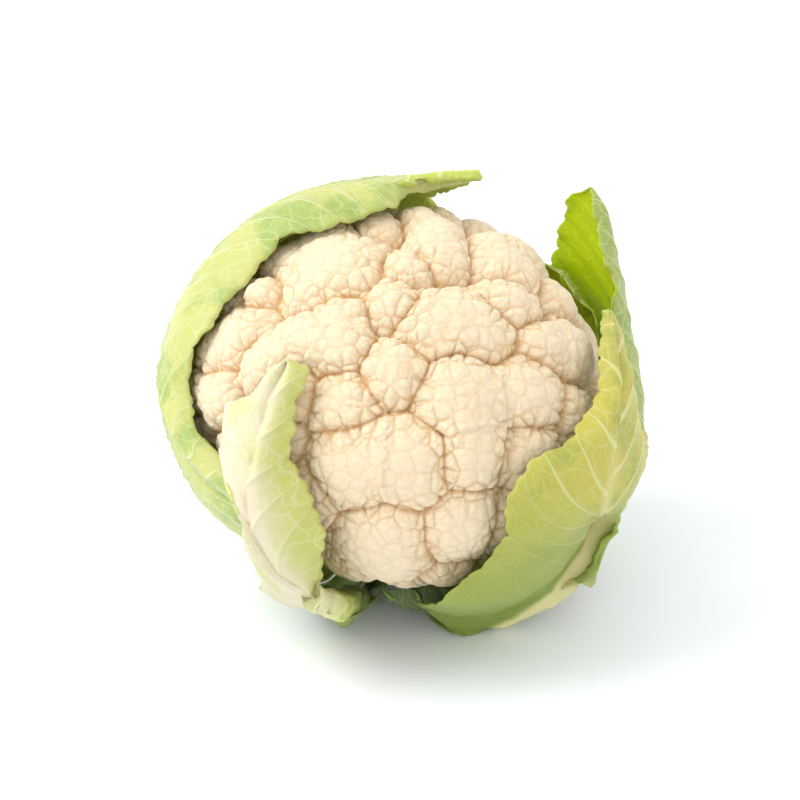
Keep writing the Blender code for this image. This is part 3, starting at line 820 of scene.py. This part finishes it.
def over_earlier(directions, trees):
    """How far out the pieces already placed reach, in a small cone round each direction."""
    reach = np.zeros(len(directions))
    spread = [(0.0, 0.0)]
    spread += [(FEELER_SPREAD * math.cos(a), FEELER_SPREAD * math.sin(a)) for a in range(6)]
    for number, direction in enumerate(directions):
        side = unit(np.cross(direction, UP if abs(direction @ UP) < 0.9 else RIGHT))
        other = np.cross(direction, side)
        for tree in trees:
            for across, along in spread:
                ray = unit(direction + across * side + along * other)
                start = tuple(ray * FEELER_START)
                hit, _, _, distance = tree.ray_cast(start, tuple(-ray), FEELER_START)
                if hit is not None:
                    reach[number] = max(reach[number], FEELER_START - distance)
    return reach


def evened(lift):
    """A grid of heights made smooth, and nowhere lower than it was."""
    around = np.pad(lift, 1, mode="edge")
    rows, columns = lift.shape
    shifts = [(r, c) for r in range(3) for c in range(3)]
    widest = np.max([around[r : r + rows, c : c + columns] for r, c in shifts], axis=0)
    around = np.pad(widest, 1, mode="edge")
    return np.mean([around[r : r + rows, c : c + columns] for r, c in shifts], axis=0)


def solid_tree(node):
    """A solid part about the head's middle, in millimetres, for rays to hit."""
    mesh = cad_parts[node].data
    found = positions(mesh) / MM - CENTRE
    return BVHTree.FromPolygons(found.tolist(), [tuple(p.vertices) for p in mesh.polygons])


def fine_lift(coarse_columns, lift, shares, columns):
    """The felt-out lift, carried over to the fine grid."""
    by_column = np.array([np.interp(columns, coarse_columns, row) for row in lift])
    coarse_shares = np.linspace(0, 1, len(lift))
    found = np.array([np.interp(shares, coarse_shares, by_column[:, c]) for c in range(len(columns))]).T
    for _ in range(EVENING_ROUNDS):
        padded = np.pad(found, ((1, 1), (0, 0)), mode="edge")
        found = (padded[:-2] + 2 * padded[1:-1] + padded[2:]) / 4
    return found


print("leaves lie", LEAF_GAP, "mm clear of each other")

# %% [markdown]
# ## Veins and curl
#
# Side veins slant off the midrib and bend towards the tip. Seen from near they stand out, and the blade
# swells between them. Counting along the leaf gives them all at once: wherever the count is a whole
# number there is a vein. The same count goes to the material, so colour and relief can't drift apart.

# %% The relief of a blade
VEIN_HEIGHT = 0.55
VEIN_HALF_WIDTH = 1.3
CURL = 0.7
CURL_LENGTH = 2.9
FINER = 8
COLUMNS = 22
CROWDED = 1.15


def side_veins(known, spacing):
    """Counts the side veins at each point: a whole number lies on a vein."""
    across = np.abs(known["across"])
    along = known["along"] - 0.75 * across - 0.006 * across**2
    wander = 0.16 * np.sin(known["along"] / 13 + across / 9) + 0.10 * np.sin(across / 5 - known["along"] / 31)
    return along / spacing + wander + 0.5 * (known["across"] < 0)


def blade_relief(leaf, known):
    """What the veins, the curl of the margins and the tuck add. It fades at the foot and at the tip."""
    count = known["count"]
    off_vein = np.abs((count + 0.5) % 1 - 0.5) * leaf.vein_spacing
    ridge = np.exp(-((off_vein / VEIN_HALF_WIDTH) ** 2))
    veins = VEIN_HEIGHT * (ridge - 0.5 * np.sin(np.pi * (count % 1)) ** 2)
    curled = CURL * np.sin(known["along"] / CURL_LENGTH + 2 * (known["across"] > 0)) * known["edge"] ** 5
    tucked = leaf.tuck * known["edge"] ** 4 * (known["across"] < 0)
    blade = np.clip(6 * known["share"], 0, 1) * np.clip(8 * (1 - known["share"]), 0, 1)
    return blade * (veins + curled - tucked)


def fine_points(leaf, trees):
    """The leaf's fine points, clear of all that was put on before, and what each knows of its place."""
    coarse_shares = np.linspace(0, 1, leaf.rows + 1)
    coarse_columns = np.array([-v for v in reversed(ACROSS[1:])] + list(ACROSS))
    points, known = leaf.span(coarse_shares, coarse_columns, fine=False)
    flat = points.reshape(-1, 3)
    directions = unit(flat)
    under = np.maximum(envelope(directions) + CURD_CLEARANCE, over_earlier(directions, trees) + LEAF_GAP)
    thickness = BLADE_THICKNESS + known["rib"].ravel()
    lift = np.maximum(0, under + thickness - np.linalg.norm(flat, axis=1))
    lift = evened(lift.reshape(known["rib"].shape))

    shares = np.linspace(0, 1, leaf.rows * FINER + 1)
    half = np.linspace(0, 1, COLUMNS + 1) ** CROWDED
    columns = np.concatenate([-half[:0:-1], half])
    points, known = leaf.span(shares, columns, fine=True)
    known["count"] = side_veins(known, leaf.vein_spacing)
    reach = np.linalg.norm(points, axis=2) + fine_lift(coarse_columns, lift, shares, columns)
    reach = reach + blade_relief(leaf, known)
    fine = (unit(points) * reach[..., None]).reshape(-1, 3)
    rows, across = known["rib"].shape
    fine[(rows - 1) * across :] = fine[(rows - 1) * across + across // 2]
    return fine, known


print("leaf grid:", 2 * COLUMNS + 1, "columns, rows by", FINER)

# %% [markdown]
# ## From points to a leaf
#
# A blade is thin and its midrib thick. The points become a sheet, and a solidify modifier gives it its
# body, because it can take the thickness of each point from a vertex group. Where the leaf's foot would
# reach into the stem or below the surface, its points are moved out.

# %% From points to a leaf
THIN_BLADE = 0.8
WELD = 0.00001


def clear_of_stem(mesh):
    found = positions(mesh) / MM - CENTRE
    along = found @ POLE
    sideways = found - along[:, None] * POLE
    distance = np.linalg.norm(sideways, axis=1)
    inside = (distance < STEM_RADIUS + STEM_GAP) & (along < -STEM_TOP + 1)
    factor = (STEM_RADIUS + STEM_GAP) / np.maximum(distance, 1e-6)
    found[inside] += (sideways * (factor - 1)[:, None])[inside]
    place(mesh, found)


def on_surface(mesh):
    """Flattens what would sink into the surface that the head rests on."""
    found = positions(mesh)
    found[:, 2] = np.maximum(found[:, 2], 0)
    mesh.vertices.foreach_set("co", found.ravel())
    mesh.update()


def leaf_sheet(leaf, fine, known):
    """The outer face of the blade, with what the material needs to know at each point."""
    rows, across = known["rib"].shape
    sheet = bmesh.new()
    bmesh.ops.create_grid(sheet, x_segments=across - 1, y_segments=rows - 1, size=1)
    mesh = bpy.data.meshes.new(leaf.name)
    sheet.to_mesh(mesh)
    sheet.free()
    place(mesh, fine)
    # The faces look away from the head, so that the thickness goes in under them.
    if sum(face.normal.dot(face.center - Vector(CENTRE * MM)) for face in mesh.polygons) < 0:
        mesh.flip_normals()
    on_surface(mesh)
    leaf_place = np.stack([known["across"], known["along"], known["share"]], -1)
    write_points(mesh, "leaf_place", "FLOAT_VECTOR", leaf_place)
    write_points(mesh, "vein_count", "FLOAT", known["count"])
    write_points(mesh, "edge", "FLOAT", known["edge"])
    write_points(mesh, "rib", "FLOAT", known["rib"] / max(leaf.rib, 1))
    return mesh


def make_leaf(leaf, trees, finish):
    fine, known = fine_points(leaf, trees)
    piece = show(leaf.name + "_blade", leaf_sheet(leaf, fine, known))
    thick = THIN_BLADE + known["rib"].ravel()
    group = piece.vertex_groups.new(name="thickness")
    for index, value in enumerate(thick):
        group.add([index], value / thick.max(), "REPLACE")
    body = piece.modifiers.new("body", "SOLIDIFY")
    body.thickness = thick.max() * MM
    body.offset = -1
    body.vertex_group = "thickness"
    mesh = plain_mesh(piece)
    inner = np.zeros(len(mesh.vertices))
    inner[len(thick) :] = 1
    write_points(mesh, "inner", "FLOAT", inner)
    clear_of_stem(mesh)
    on_surface(mesh)
    welded = bmesh.new()
    welded.from_mesh(mesh)
    bmesh.ops.remove_doubles(welded, verts=welded.verts, dist=WELD)
    bmesh.ops.triangulate(welded, faces=welded.faces)
    welded.to_mesh(mesh)
    welded.free()
    mesh.shade_smooth()
    mesh.materials.append(finish)
    piece.vertex_groups.clear()
    hand_over(piece, leaf.name)
    trees.append(solid_tree(leaf.name))
    return piece


print("blades", THIN_BLADE, "mm thin")

# %% [markdown]
# ## What a leaf looks like
#
# The leaves of this head are thin, waxy and pale where the sun never reached them. Their outer face is
# duller than the inner one. Three orders of veins make them read as leaves: the thick cream midrib, side
# veins that slant off it, and a fine net between. The side veins are read from the count stored on the
# mesh, and the net is the set of borders of a Voronoi pattern laid out in leaf millimetres, which follows
# the blade however it bends. Cells of about 8 and 3 millimetres are what one finds on a real leaf.

# %% The veins that a leaf finish draws
NET_WIDE = 8.0
NET_FINE = 3.2


def drawn_veins(tree, at, edge, net):
    """Side veins that thin out to the margin, and the net of fine veins between them."""
    count = add(tree, "ShaderNodeAttribute", attribute_name="vein_count").outputs["Fac"]
    from_vein = count
    for operation, more in (("ADD", {1: 0.5}), ("FRACT", {}), ("SUBTRACT", {1: 0.5}), ("ABSOLUTE", {})):
        from_vein = add(tree, "ShaderNodeMath", {0: from_vein, **more}, operation=operation)
    thinning = {"Value": edge, "To Min": 0.105, "To Max": 0.03}
    width = add(tree, "ShaderNodeMapRange", thinning, interpolation_type="SMOOTHSTEP")
    widths = add(tree, "ShaderNodeMath", {0: from_vein, 1: width}, operation="DIVIDE")
    soft = add(tree, "ShaderNodeMath", {0: 1.0, 1: widths}, operation="SUBTRACT")
    soft_line = {"Value": soft, "From Max": 0.6}
    side_vein = add(tree, "ShaderNodeMapRange", soft_line, interpolation_type="SMOOTHSTEP")

    ragged = add(tree, "ShaderNodeTexNoise", {"Vector": at, "Scale": 0.12, "Detail": 2.0}).outputs["Color"]
    push = add(tree, "ShaderNodeVectorMath", {0: ragged, 3: 9.0}, operation="SCALE")
    loose = add(tree, "ShaderNodeVectorMath", {0: at, 1: push})
    netted = 0.0
    for width, off_line, on_line, strength in (
        (NET_WIDE, 0.075, 0.02, net),
        (NET_FINE, 0.14, 0.03, 0.45 * net),
    ):
        cells = add(
            tree, "ShaderNodeTexVoronoi", {"Vector": loose, "Scale": 1 / width},
            feature="DISTANCE_TO_EDGE", voronoi_dimensions="2D",
        )  # fmt: skip
        line = {"Value": cells, "From Min": off_line, "From Max": on_line, "To Max": strength}
        lined = add(tree, "ShaderNodeMapRange", line, interpolation_type="SMOOTHSTEP")
        netted = add(tree, "ShaderNodeMath", {0: netted, 1: lined}, operation="MAXIMUM")
    return side_vein, netted


print("net of veins:", NET_WIDE, "and", NET_FINE, "mm")

# %% [markdown]
# ## The leaf finish
#
# Wax makes the blade shine softly, and light that goes through the thin flesh comes out yellow-green. The
# outer face is painted in layers: the blade, cloudy patches of a second green, a margin where one side
# saw more sun, and the veins. The inner face has fresher colours of its own. Last come the foot and the
# rib. The foot takes the rib's colour, as it never saw the sun. On the blanched leaf it is instead a dark
# green like the shaded lower leaf's, which is partly painted shade. On the yellow-green leaves it turns a
# darker green. One function serves all leaves, because they differ only in these values.

# %% Material: waxy leaf
WAX = {
    "Roughness": 0.42, "IOR": 1.42, "Specular IOR Level": 0.4,
    "Subsurface Weight": 0.22, "Subsurface Radius": (0.75, 1.0, 0.25), "Subsurface Scale": 0.0025,
}  # fmt: skip


def waxy_leaf(
    name, blade, patch, vein, midrib, inner_blade, inner_vein,
    patches=0.5, net=0.6, foot=0.25, foot_tint_and_shade=None, rib_from=0.0, side_veins=0.85, right_margin=None,
):  # fmt: skip
    """A leaf finish: outer blade colour with patches of a second one, veins, and the inner face."""
    made, tree, shader = new_finish(name, WAX)
    at = add(tree, "ShaderNodeAttribute", attribute_name="leaf_place").outputs["Vector"]
    edge = add(tree, "ShaderNodeAttribute", attribute_name="edge").outputs["Fac"]
    rib = add(tree, "ShaderNodeAttribute", attribute_name="rib").outputs["Fac"]
    inner = add(tree, "ShaderNodeAttribute", attribute_name="inner").outputs["Fac"]
    across, _, share = add(tree, "ShaderNodeSeparateXYZ", {0: at}).outputs
    where = add(tree, "ShaderNodeTexCoord").outputs["Object"]
    side_vein, netted = drawn_veins(tree, at, edge, net)

    soft_clouds = {"Vector": where, "Scale": 45.0, "Detail": 4.0, "Roughness": 0.55}
    clouds = add(tree, "ShaderNodeTexNoise", soft_clouds)
    masks = []
    for value, low, high, most in (
        (clouds, 0.62 - 0.35 * patches, 0.80 - 0.35 * patches, 1.0),
        (edge, 0.1, 0.8, 0.9),
        (share, 0.04, 0.2, 1.0),
        (share, foot, 0.4 * foot, 1.0),
        (rib, 0.22, 0.68, 1.0),
        (share, rib_from - 0.01, rib_from + 0.1, 1.0),
    ):
        limits = {"Value": value, "From Min": low, "From Max": high, "To Max": most}
        masks.append(add(tree, "ShaderNodeMapRange", limits, interpolation_type="SMOOTHSTEP"))
    cloud, to_margin, on_blade, at_foot, thick, above = masks

    layers = [(cloud, patch)]
    if right_margin:
        side = add(tree, "ShaderNodeMath", {0: across, 1: 0.0}, operation="GREATER_THAN")
        on_right = add(tree, "ShaderNodeMath", {0: side, 1: to_margin}, operation="MULTIPLY")
        layers.append((on_right, right_margin))
    strong = add(tree, "ShaderNodeMath", {0: side_vein, 1: side_veins}, operation="MULTIPLY")
    weak = add(tree, "ShaderNodeMath", {0: netted, 1: on_blade}, operation="MULTIPLY")
    veins = add(tree, "ShaderNodeMath", {0: strong, 1: weak}, operation="MAXIMUM")
    faint = add(tree, "ShaderNodeMath", {0: cloud, 1: 0.25}, operation="MULTIPLY")
    outer = painted(tree, blade, *layers, (veins, vein))
    inside = painted(tree, inner_blade, (faint, patch), (veins, inner_vein))
    on_rib = add(tree, "ShaderNodeMath", {0: thick, 1: above}, operation="MULTIPLY")
    # The foot takes the rib's colour or a given darker green. On the blanched leaf that green is partly
    # painted shade.
    colour = painted(tree, outer, (inner, inside), (at_foot, foot_tint_and_shade or midrib), (on_rib, midrib))
    tree.links.new(colour, shader.inputs["Base Color"])

    net_height = add(tree, "ShaderNodeMath", {0: netted, 1: 0.5}, operation="MULTIPLY")
    height = add(tree, "ShaderNodeMath", {0: side_vein, 1: 0.6, 2: net_height}, operation="MULTIPLY_ADD")
    bump = add(tree, "ShaderNodeBump", {"Height": height, "Strength": 0.55, "Distance": 0.0006})
    tree.links.new(bump.outputs[0], shader.inputs["Normal"])
    return made


# Its dark green foot is partly painted shade, like that of the shaded lower leaf it runs into.
palest_leaf = waxy_leaf(
    "waxy leaf, blanched", blade="#D3C8AE", patch="#C6C48E", vein="#DAD3B4", midrib="#CFC9A0",
    inner_blade="#C6CC6A", inner_vein="#E4E4A8", patches=0.4, net=0.3, foot=0.44, foot_tint_and_shade="#76874A",
    rib_from=0.42, side_veins=0.35, right_margin="#B7BA5C",
)  # fmt: skip
pale_leaf = waxy_leaf(
    "waxy leaf, pale", blade="#B9BB6C", patch="#97AA58", vein="#CDD3A4", midrib="#B2BC86",
    inner_blade="#B9C65A", inner_vein="#DFE4A4", patches=0.5, net=0.3, foot=0.08,
    side_veins=0.6, right_margin="#9BAA70",
)  # fmt: skip
yellow_leaf = waxy_leaf(
    "waxy leaf, yellow green", blade="#BBB351", patch="#A2A54A", vein="#D0CC8C", midrib="#DAD29C",
    inner_blade="#A9B44C", inner_vein="#D3D68E", patches=0.45, net=0.3, foot=0.75, foot_tint_and_shade="#829541",
)  # fmt: skip
green_leaf = waxy_leaf(
    "waxy leaf, green", blade="#98A454", patch="#869C48", vein="#BFC880", midrib="#D3D296",
    inner_blade="#B0C208", inner_vein="#C0D420", patches=0.5, net=0.5, foot=0.25,
)  # fmt: skip
bright_leaf = waxy_leaf(
    "waxy leaf, bright green", blade="#9AB02E", patch="#86A038", vein="#C5D07E", midrib="#D3D9A0",
    inner_blade="#9FB432", inner_vein="#CBD68A", patches=0.5, net=0.5, foot=0.3,
)  # fmt: skip
# The leaf under the front lies in the head's shade. Its dark grey greens are partly its own outer colour and
# partly painted shade.
shade_darkened_leaf = waxy_leaf(
    "dull leaf, shaded", blade="#617343", patch="#4F6138", vein="#8C9C68", midrib="#97A574",
    inner_blade="#6F8F2C", inner_vein="#9DB45E", patches=0.5, net=0.6, foot=0.2,
)  # fmt: skip
print("leaf materials:", ", ".join(m.name for m in bpy.data.materials if "leaf," in m.name))

# %% [markdown]
# ## The leaves, from the innermost to the outermost
#
# They go on in the order in which they lie over each other, because each is lifted clear of the ones
# below it. The points are read from the front of the head, in millimetres right and up of its middle.

# %% The inner leaves
leaf_trees = [solid_tree("curd")]
make_leaf(
    Leaf(
        "leaf_under_front", -90, INNER_TIER,
        [round_head(-80, 143, 14), front(8, -78, 9), front(6, -75, 7), front(4, -72, 5)],
        [round_head(-90, 143, 10), front(-6, -75, 7), front(-8, -71, 5), front(-4, -70, 4)],
        [round_head(-62, 140, 12), front(20, -78, 9), front(19, -72, 6), front(12, -70, 5)],
        rows=14, rib=4.0, wave=0.8,
    ),
    leaf_trees, shade_darkened_leaf,
)  # fmt: skip
make_leaf(
    Leaf(
        "leaf_left_wrap", -158, INNER_TIER,
        [
            round_head(-140, 138, 11), front(-50, -38, 8), front(-66, -31, 9), front(-79, -20, 9),
            front(-90, 1, 9), front(-90, 23, 9), front(-82, 42, 9), front(-67, 61, 9),
            front(-44, 76, 9), front(-28, 80, 9), front(-2, 81, 9), front(18, 84, 9), front(29, 84, 8),
        ],
        [
            round_head(-128, 138, 9), front(-46, -30, 4), front(-61, -23, 3), front(-75, -11, 3),
            front(-81, 4, 3), front(-75, 20, 3), front(-62, 42, 3), front(-43, 60, 3),
            front(-27, 66, 3), front(-13, 70, 3), front(-6, 73, 4), front(8, 80, 6),
        ],
        [
            round_head(-164, 138, 11), round_head(-168, 122, 9), back(-84, 0, 8), back(-80, 28, 8),
            back(-66, 50, 8), back(-44, 68, 8), back(-20, 76, 8), back(5, 80, 7),
        ],
        rows=24, rib=6.0, wave=1.6, waves=7, tuck=2.2,
    ),
    leaf_trees, pale_leaf,
)  # fmt: skip
make_leaf(
    Leaf(
        "leaf_back", 100, INNER_TIER,
        [round_head(100, 138, 11), round_head(100, 112, 9), round_head(100, 90, 7), round_head(102, 74, 5)],
        [round_head(62, 138, 7), round_head(62, 112, 6), round_head(68, 90, 5), round_head(84, 79, 4)],
        [round_head(140, 138, 7), round_head(138, 112, 6), round_head(132, 90, 5), round_head(118, 78, 4)],
        rows=16, rib=6.5, wave=2.0, waves=4,
    ),
    leaf_trees, yellow_leaf,
)  # fmt: skip
make_leaf(
    Leaf(
        "leaf_right_back", 38, INNER_TIER,
        [round_head(38, 138, 13), round_head(38, 116, 11), round_head(40, 100, 9), round_head(44, 90, 7)],
        [round_head(4, 138, 9), round_head(8, 114, 8), round_head(16, 102, 7), round_head(32, 92, 6)],
        [round_head(74, 138, 13), round_head(72, 114, 12), round_head(66, 98, 10), round_head(54, 91, 7)],
        rows=16, rib=6.5, wave=1.6, waves=4,
    ),
    leaf_trees, green_leaf,
)  # fmt: skip

# %% [markdown]
# ## The outer leaves
#
# These grow lower on the stem and lie over the others, so they show whole. Where a margin stands away from
# the curd, its points are given in depth too, because nothing below says how far back they are.

# %% The outer leaves
make_leaf(
    Leaf(
        "leaf_right_tall", -14, OUTER_TIER,
        [
            round_head(-20, 134, 22), standing(71, -60, -20), standing(80, -48, -22),
            standing(86, -37, -23), standing(91, -23, -22), standing(92, -5, -22),
            standing(91, 10, -22), standing(88, 26, -22), standing(83, 54, -22),
            standing(77, 77, -24), standing(72, 83, -25),
        ],
        [
            round_head(8, 136, 16), round_head(10, 116, 14), back(64, -4, 12), back(62, 24, 12),
            standing(58, 46, -48), standing(57, 56, -45), standing(61, 66, -40), standing(65, 80, -32),
        ],
        [
            round_head(-30, 134, 16), standing(67, -60, -12), standing(77, -47, -14),
            standing(84, -36, -16), standing(87, -24, -16), standing(88, -14, -10),
            standing(86, -6, -6), standing(84, 8, -5), standing(81, 21, -5), standing(80, 42, -6),
            standing(76, 57, -9), standing(73, 78, -20),
        ],
        rows=22, rib=5.0, wave=1.0, waves=6, bulge=1.5,
    ),
    leaf_trees, green_leaf,
)  # fmt: skip
make_leaf(
    Leaf(
        "leaf_left_back", 160, OUTER_TIER,
        [round_head(158, 140, 20), round_head(152, 118, 15), round_head(148, 98, 12), round_head(144, 80, 9)],
        [round_head(126, 140, 14), round_head(118, 118, 12), round_head(118, 98, 10), round_head(130, 84, 8)],
        [round_head(-164, 138, 18), round_head(-178, 120, 15),
         round_head(166, 100, 12), round_head(154, 84, 9)],
        rows=16, rib=7.0, wave=1.8, waves=4,
    ),
    leaf_trees, bright_leaf,
)  # fmt: skip
make_leaf(
    Leaf(
        "leaf_front_left", -122, OUTER_TIER,
        [
            round_head(-115, 143, 24), front(-20, -73, 10), front(-30, -66, 10), front(-43, -51, 11),
            front(-50, -34, 11), front(-50, -15, 10), front(-47, 1, 8), front(-40, 14, 6),
        ],
        [
            round_head(-134, 140, 14), front(-41, -62, 10), front(-52, -50, 13), front(-56, -40, 16),
            front(-58, -31, 15), front(-63, -22, 10), front(-66, -12, 6), front(-65, -4, 5),
            front(-54, 3, 5), front(-46, 12, 5),
        ],
        [
            round_head(-102, 140, 12), front(-14, -73, 6), front(-24, -64, 5), front(-28, -56, 5),
            front(-28, -48, 5), front(-31, -37, 5), front(-36, -29, 5), front(-39, -20, 5),
            front(-39, -8, 5), front(-37, 1, 5), front(-35, 12, 5),
        ],
        rows=20, rib=7.5, wave=1.0, waves=6,
    ),
    leaf_trees, palest_leaf,
)  # fmt: skip
make_leaf(
    Leaf(
        "leaf_lower_right", -62, OUTER_TIER,
        [
            round_head(-62, 134, 30), front(36, -84, 20), front(55, -72, 14), front(64, -58, 12),
            front(69, -47, 12), front(71, -35, 11), front(75, -12, 10), front(77, 11, 8),
            front(76, 23, 7), front(74, 33, 6),
        ],
        [
            round_head(-84, 136, 24), front(18, -79, 14), front(11, -72, 8), front(18, -66, 6),
            front(30, -57, 5), front(36, -38, 5), front(40, -26, 5), front(55, -15, 5),
            front(68, 0, 5), front(70, 19, 5),
        ],
        [
            round_head(-42, 134, 24), standing(52, -74, -12), standing(62, -70, -2),
            standing(70, -62, 2), standing(76, -51, 5), standing(81, -41, 7), standing(85, -31, 9),
            standing(89, -17, 16), standing(86, -4, 22), standing(81, 13, 26), front(76, 31, 6),
        ],
        rows=22, rib=7.5, wave=1.0, waves=6, vein_spacing=21,
    ),
    leaf_trees, yellow_leaf,
)  # fmt: skip

# %% [markdown]
# ## The stem
#
# Under the leaves the stem is a short, thick stalk that a knife cut across. Its skin is smooth and pale
# green, with faint clouds and fibres. It lies in the shade of the leaves, so its finish is kept simple.

# %% Material: cut stalk
STALK = {
    "Roughness": 0.5, "Subsurface Weight": 0.2,
    "Subsurface Radius": (0.8, 1.0, 0.4), "Subsurface Scale": 0.002,
}  # fmt: skip


def stalk_flesh():
    made, tree, shader = new_finish("cut stalk", STALK)
    where = add(tree, "ShaderNodeTexCoord").outputs["Object"]
    fibres = add(tree, "ShaderNodeTexNoise", {"Vector": where, "Scale": 700.0, "Detail": 2.0})
    clouds = add(tree, "ShaderNodeTexNoise", {"Vector": where, "Scale": 60.0, "Detail": 3.0})
    colour = painted(tree, "#DDE2AE", (clouds, "#C3CF8A"))
    tree.links.new(colour, shader.inputs["Base Color"])
    bump = add(tree, "ShaderNodeBump", {"Height": fibres, "Strength": 0.4, "Distance": 0.0004})
    tree.links.new(bump.outputs[0], shader.inputs["Normal"])
    return made


stalk_finish = stalk_flesh()
print("stem material:", stalk_finish.name)

# %% [markdown]
# ## Turning the stem
#
# The stem is turned from a profile, as a lathe would, because everything about it is round. The knife
# left a sharp rim, which has dried a little round, and the pith inside the ring of fibres has sunk in.

# %% The stem
PITH_RADIUS = 15.0
PITH_HOLLOW = 1.2
CUT_BEVEL = 1.5
STEM_SIDES = 96
profile = [
    (0, -STEM_TOP),
    (STEM_RADIUS - 5, -STEM_TOP),
    (STEM_RADIUS - 1.5, -STEM_TOP - 3),
    (STEM_RADIUS, -STEM_TOP - 7),
    (STEM_RADIUS, -STEM_END + CUT_BEVEL),
    (STEM_RADIUS - 0.5 * CUT_BEVEL, -STEM_END + 0.4 * CUT_BEVEL),
    (STEM_RADIUS - CUT_BEVEL, -STEM_END),
    (PITH_RADIUS + 2, -STEM_END),
    (PITH_RADIUS + 1.5, -STEM_END - 0.3),
    (PITH_RADIUS + 0.5, -STEM_END - 0.3),
    (PITH_RADIUS, -STEM_END),
    (PITH_RADIUS - PITH_HOLLOW, -STEM_END + PITH_HOLLOW),
    (0, -STEM_END + PITH_HOLLOW),
]
turning = bmesh.new()
corners = [turning.verts.new((radius, 0, along)) for radius, along in profile]
for first, second in zip(corners, corners[1:]):
    turning.edges.new((first, second))
mesh = bpy.data.meshes.new("stem_stalk")
turning.to_mesh(mesh)
turning.free()
stalk = show("stem_stalk", mesh)
turn = stalk.modifiers.new("turn", "SCREW")
turn.steps = turn.render_steps = STEM_SIDES
turn.use_merge_vertices = True
turn.merge_threshold = 0.0001
mesh = plain_mesh(stalk)
place(mesh, positions(mesh) @ np.array((EAST, NORTH, POLE)))
on_surface(mesh)
mesh.shade_smooth()
mesh.set_sharp_from_angle(angle=math.radians(40))
mesh.materials.append(stalk_finish)
hand_over(stalk, "stem")

# %% [markdown]
# ## Surface, light and camera
#
# The head lies on plain white, lit high and softly. One broad light stands at the upper left, so the
# shadow falls to the right. A white surrounding fills the rest, which keeps the shaded side of a white
# vegetable light. The paper is matt, so that it shows the soft shadow and no reflection.

# %% Stage
floor_mesh = bpy.data.meshes.new("table")
floor_mesh.from_pydata([(-6, -6, 0), (6, -6, 0), (6, 6, 0), (-6, 6, 0)], [], [(0, 1, 2, 3)])
table = show("table", floor_mesh)
table.location.z = -0.0002
matt = {"Base Color": linear("#F6F9FF"), "Roughness": 0.9, "Specular IOR Level": 0.1}
white, _, _ = new_finish("matt white paper", matt)
floor_mesh.materials.append(white)

scene = bpy.context.scene
world = bpy.data.worlds.new("white room")
world.use_nodes = True
world.node_tree.nodes["Background"].inputs["Color"].default_value = (1, 1, 1, 1)
world.node_tree.nodes["Background"].inputs["Strength"].default_value = 1.15
scene.world = world
scene.view_settings.view_transform = "Standard"


def soft_light(name, place_at, size, power, towards=(0, 0, 0.07)):
    lamp = bpy.data.lights.new(name, "AREA")
    lamp.shape = "DISK"
    lamp.size = size
    lamp.energy = power
    made = bpy.data.objects.new(name, lamp)
    scene.collection.objects.link(made)
    made.location = place_at
    made.rotation_euler = (Vector(towards) - Vector(place_at)).to_track_quat("-Z", "Y").to_euler()
    return made


soft_light("window", (-0.92, -0.06, 1.12), 1.0, 12)

CAMERA_DISTANCE = 0.8444
lens = bpy.data.cameras.new("camera")
lens.lens = 100
lens.sensor_width = 36
camera = bpy.data.objects.new("camera", lens)
scene.collection.objects.link(camera)
aim = Vector((-0.0019, 0, CENTRE_HEIGHT * MM))
camera.location = aim + Vector(NEAR) * CAMERA_DISTANCE
camera.rotation_euler = (-Vector(NEAR)).to_track_quat("-Z", "Y").to_euler()
scene.camera = camera
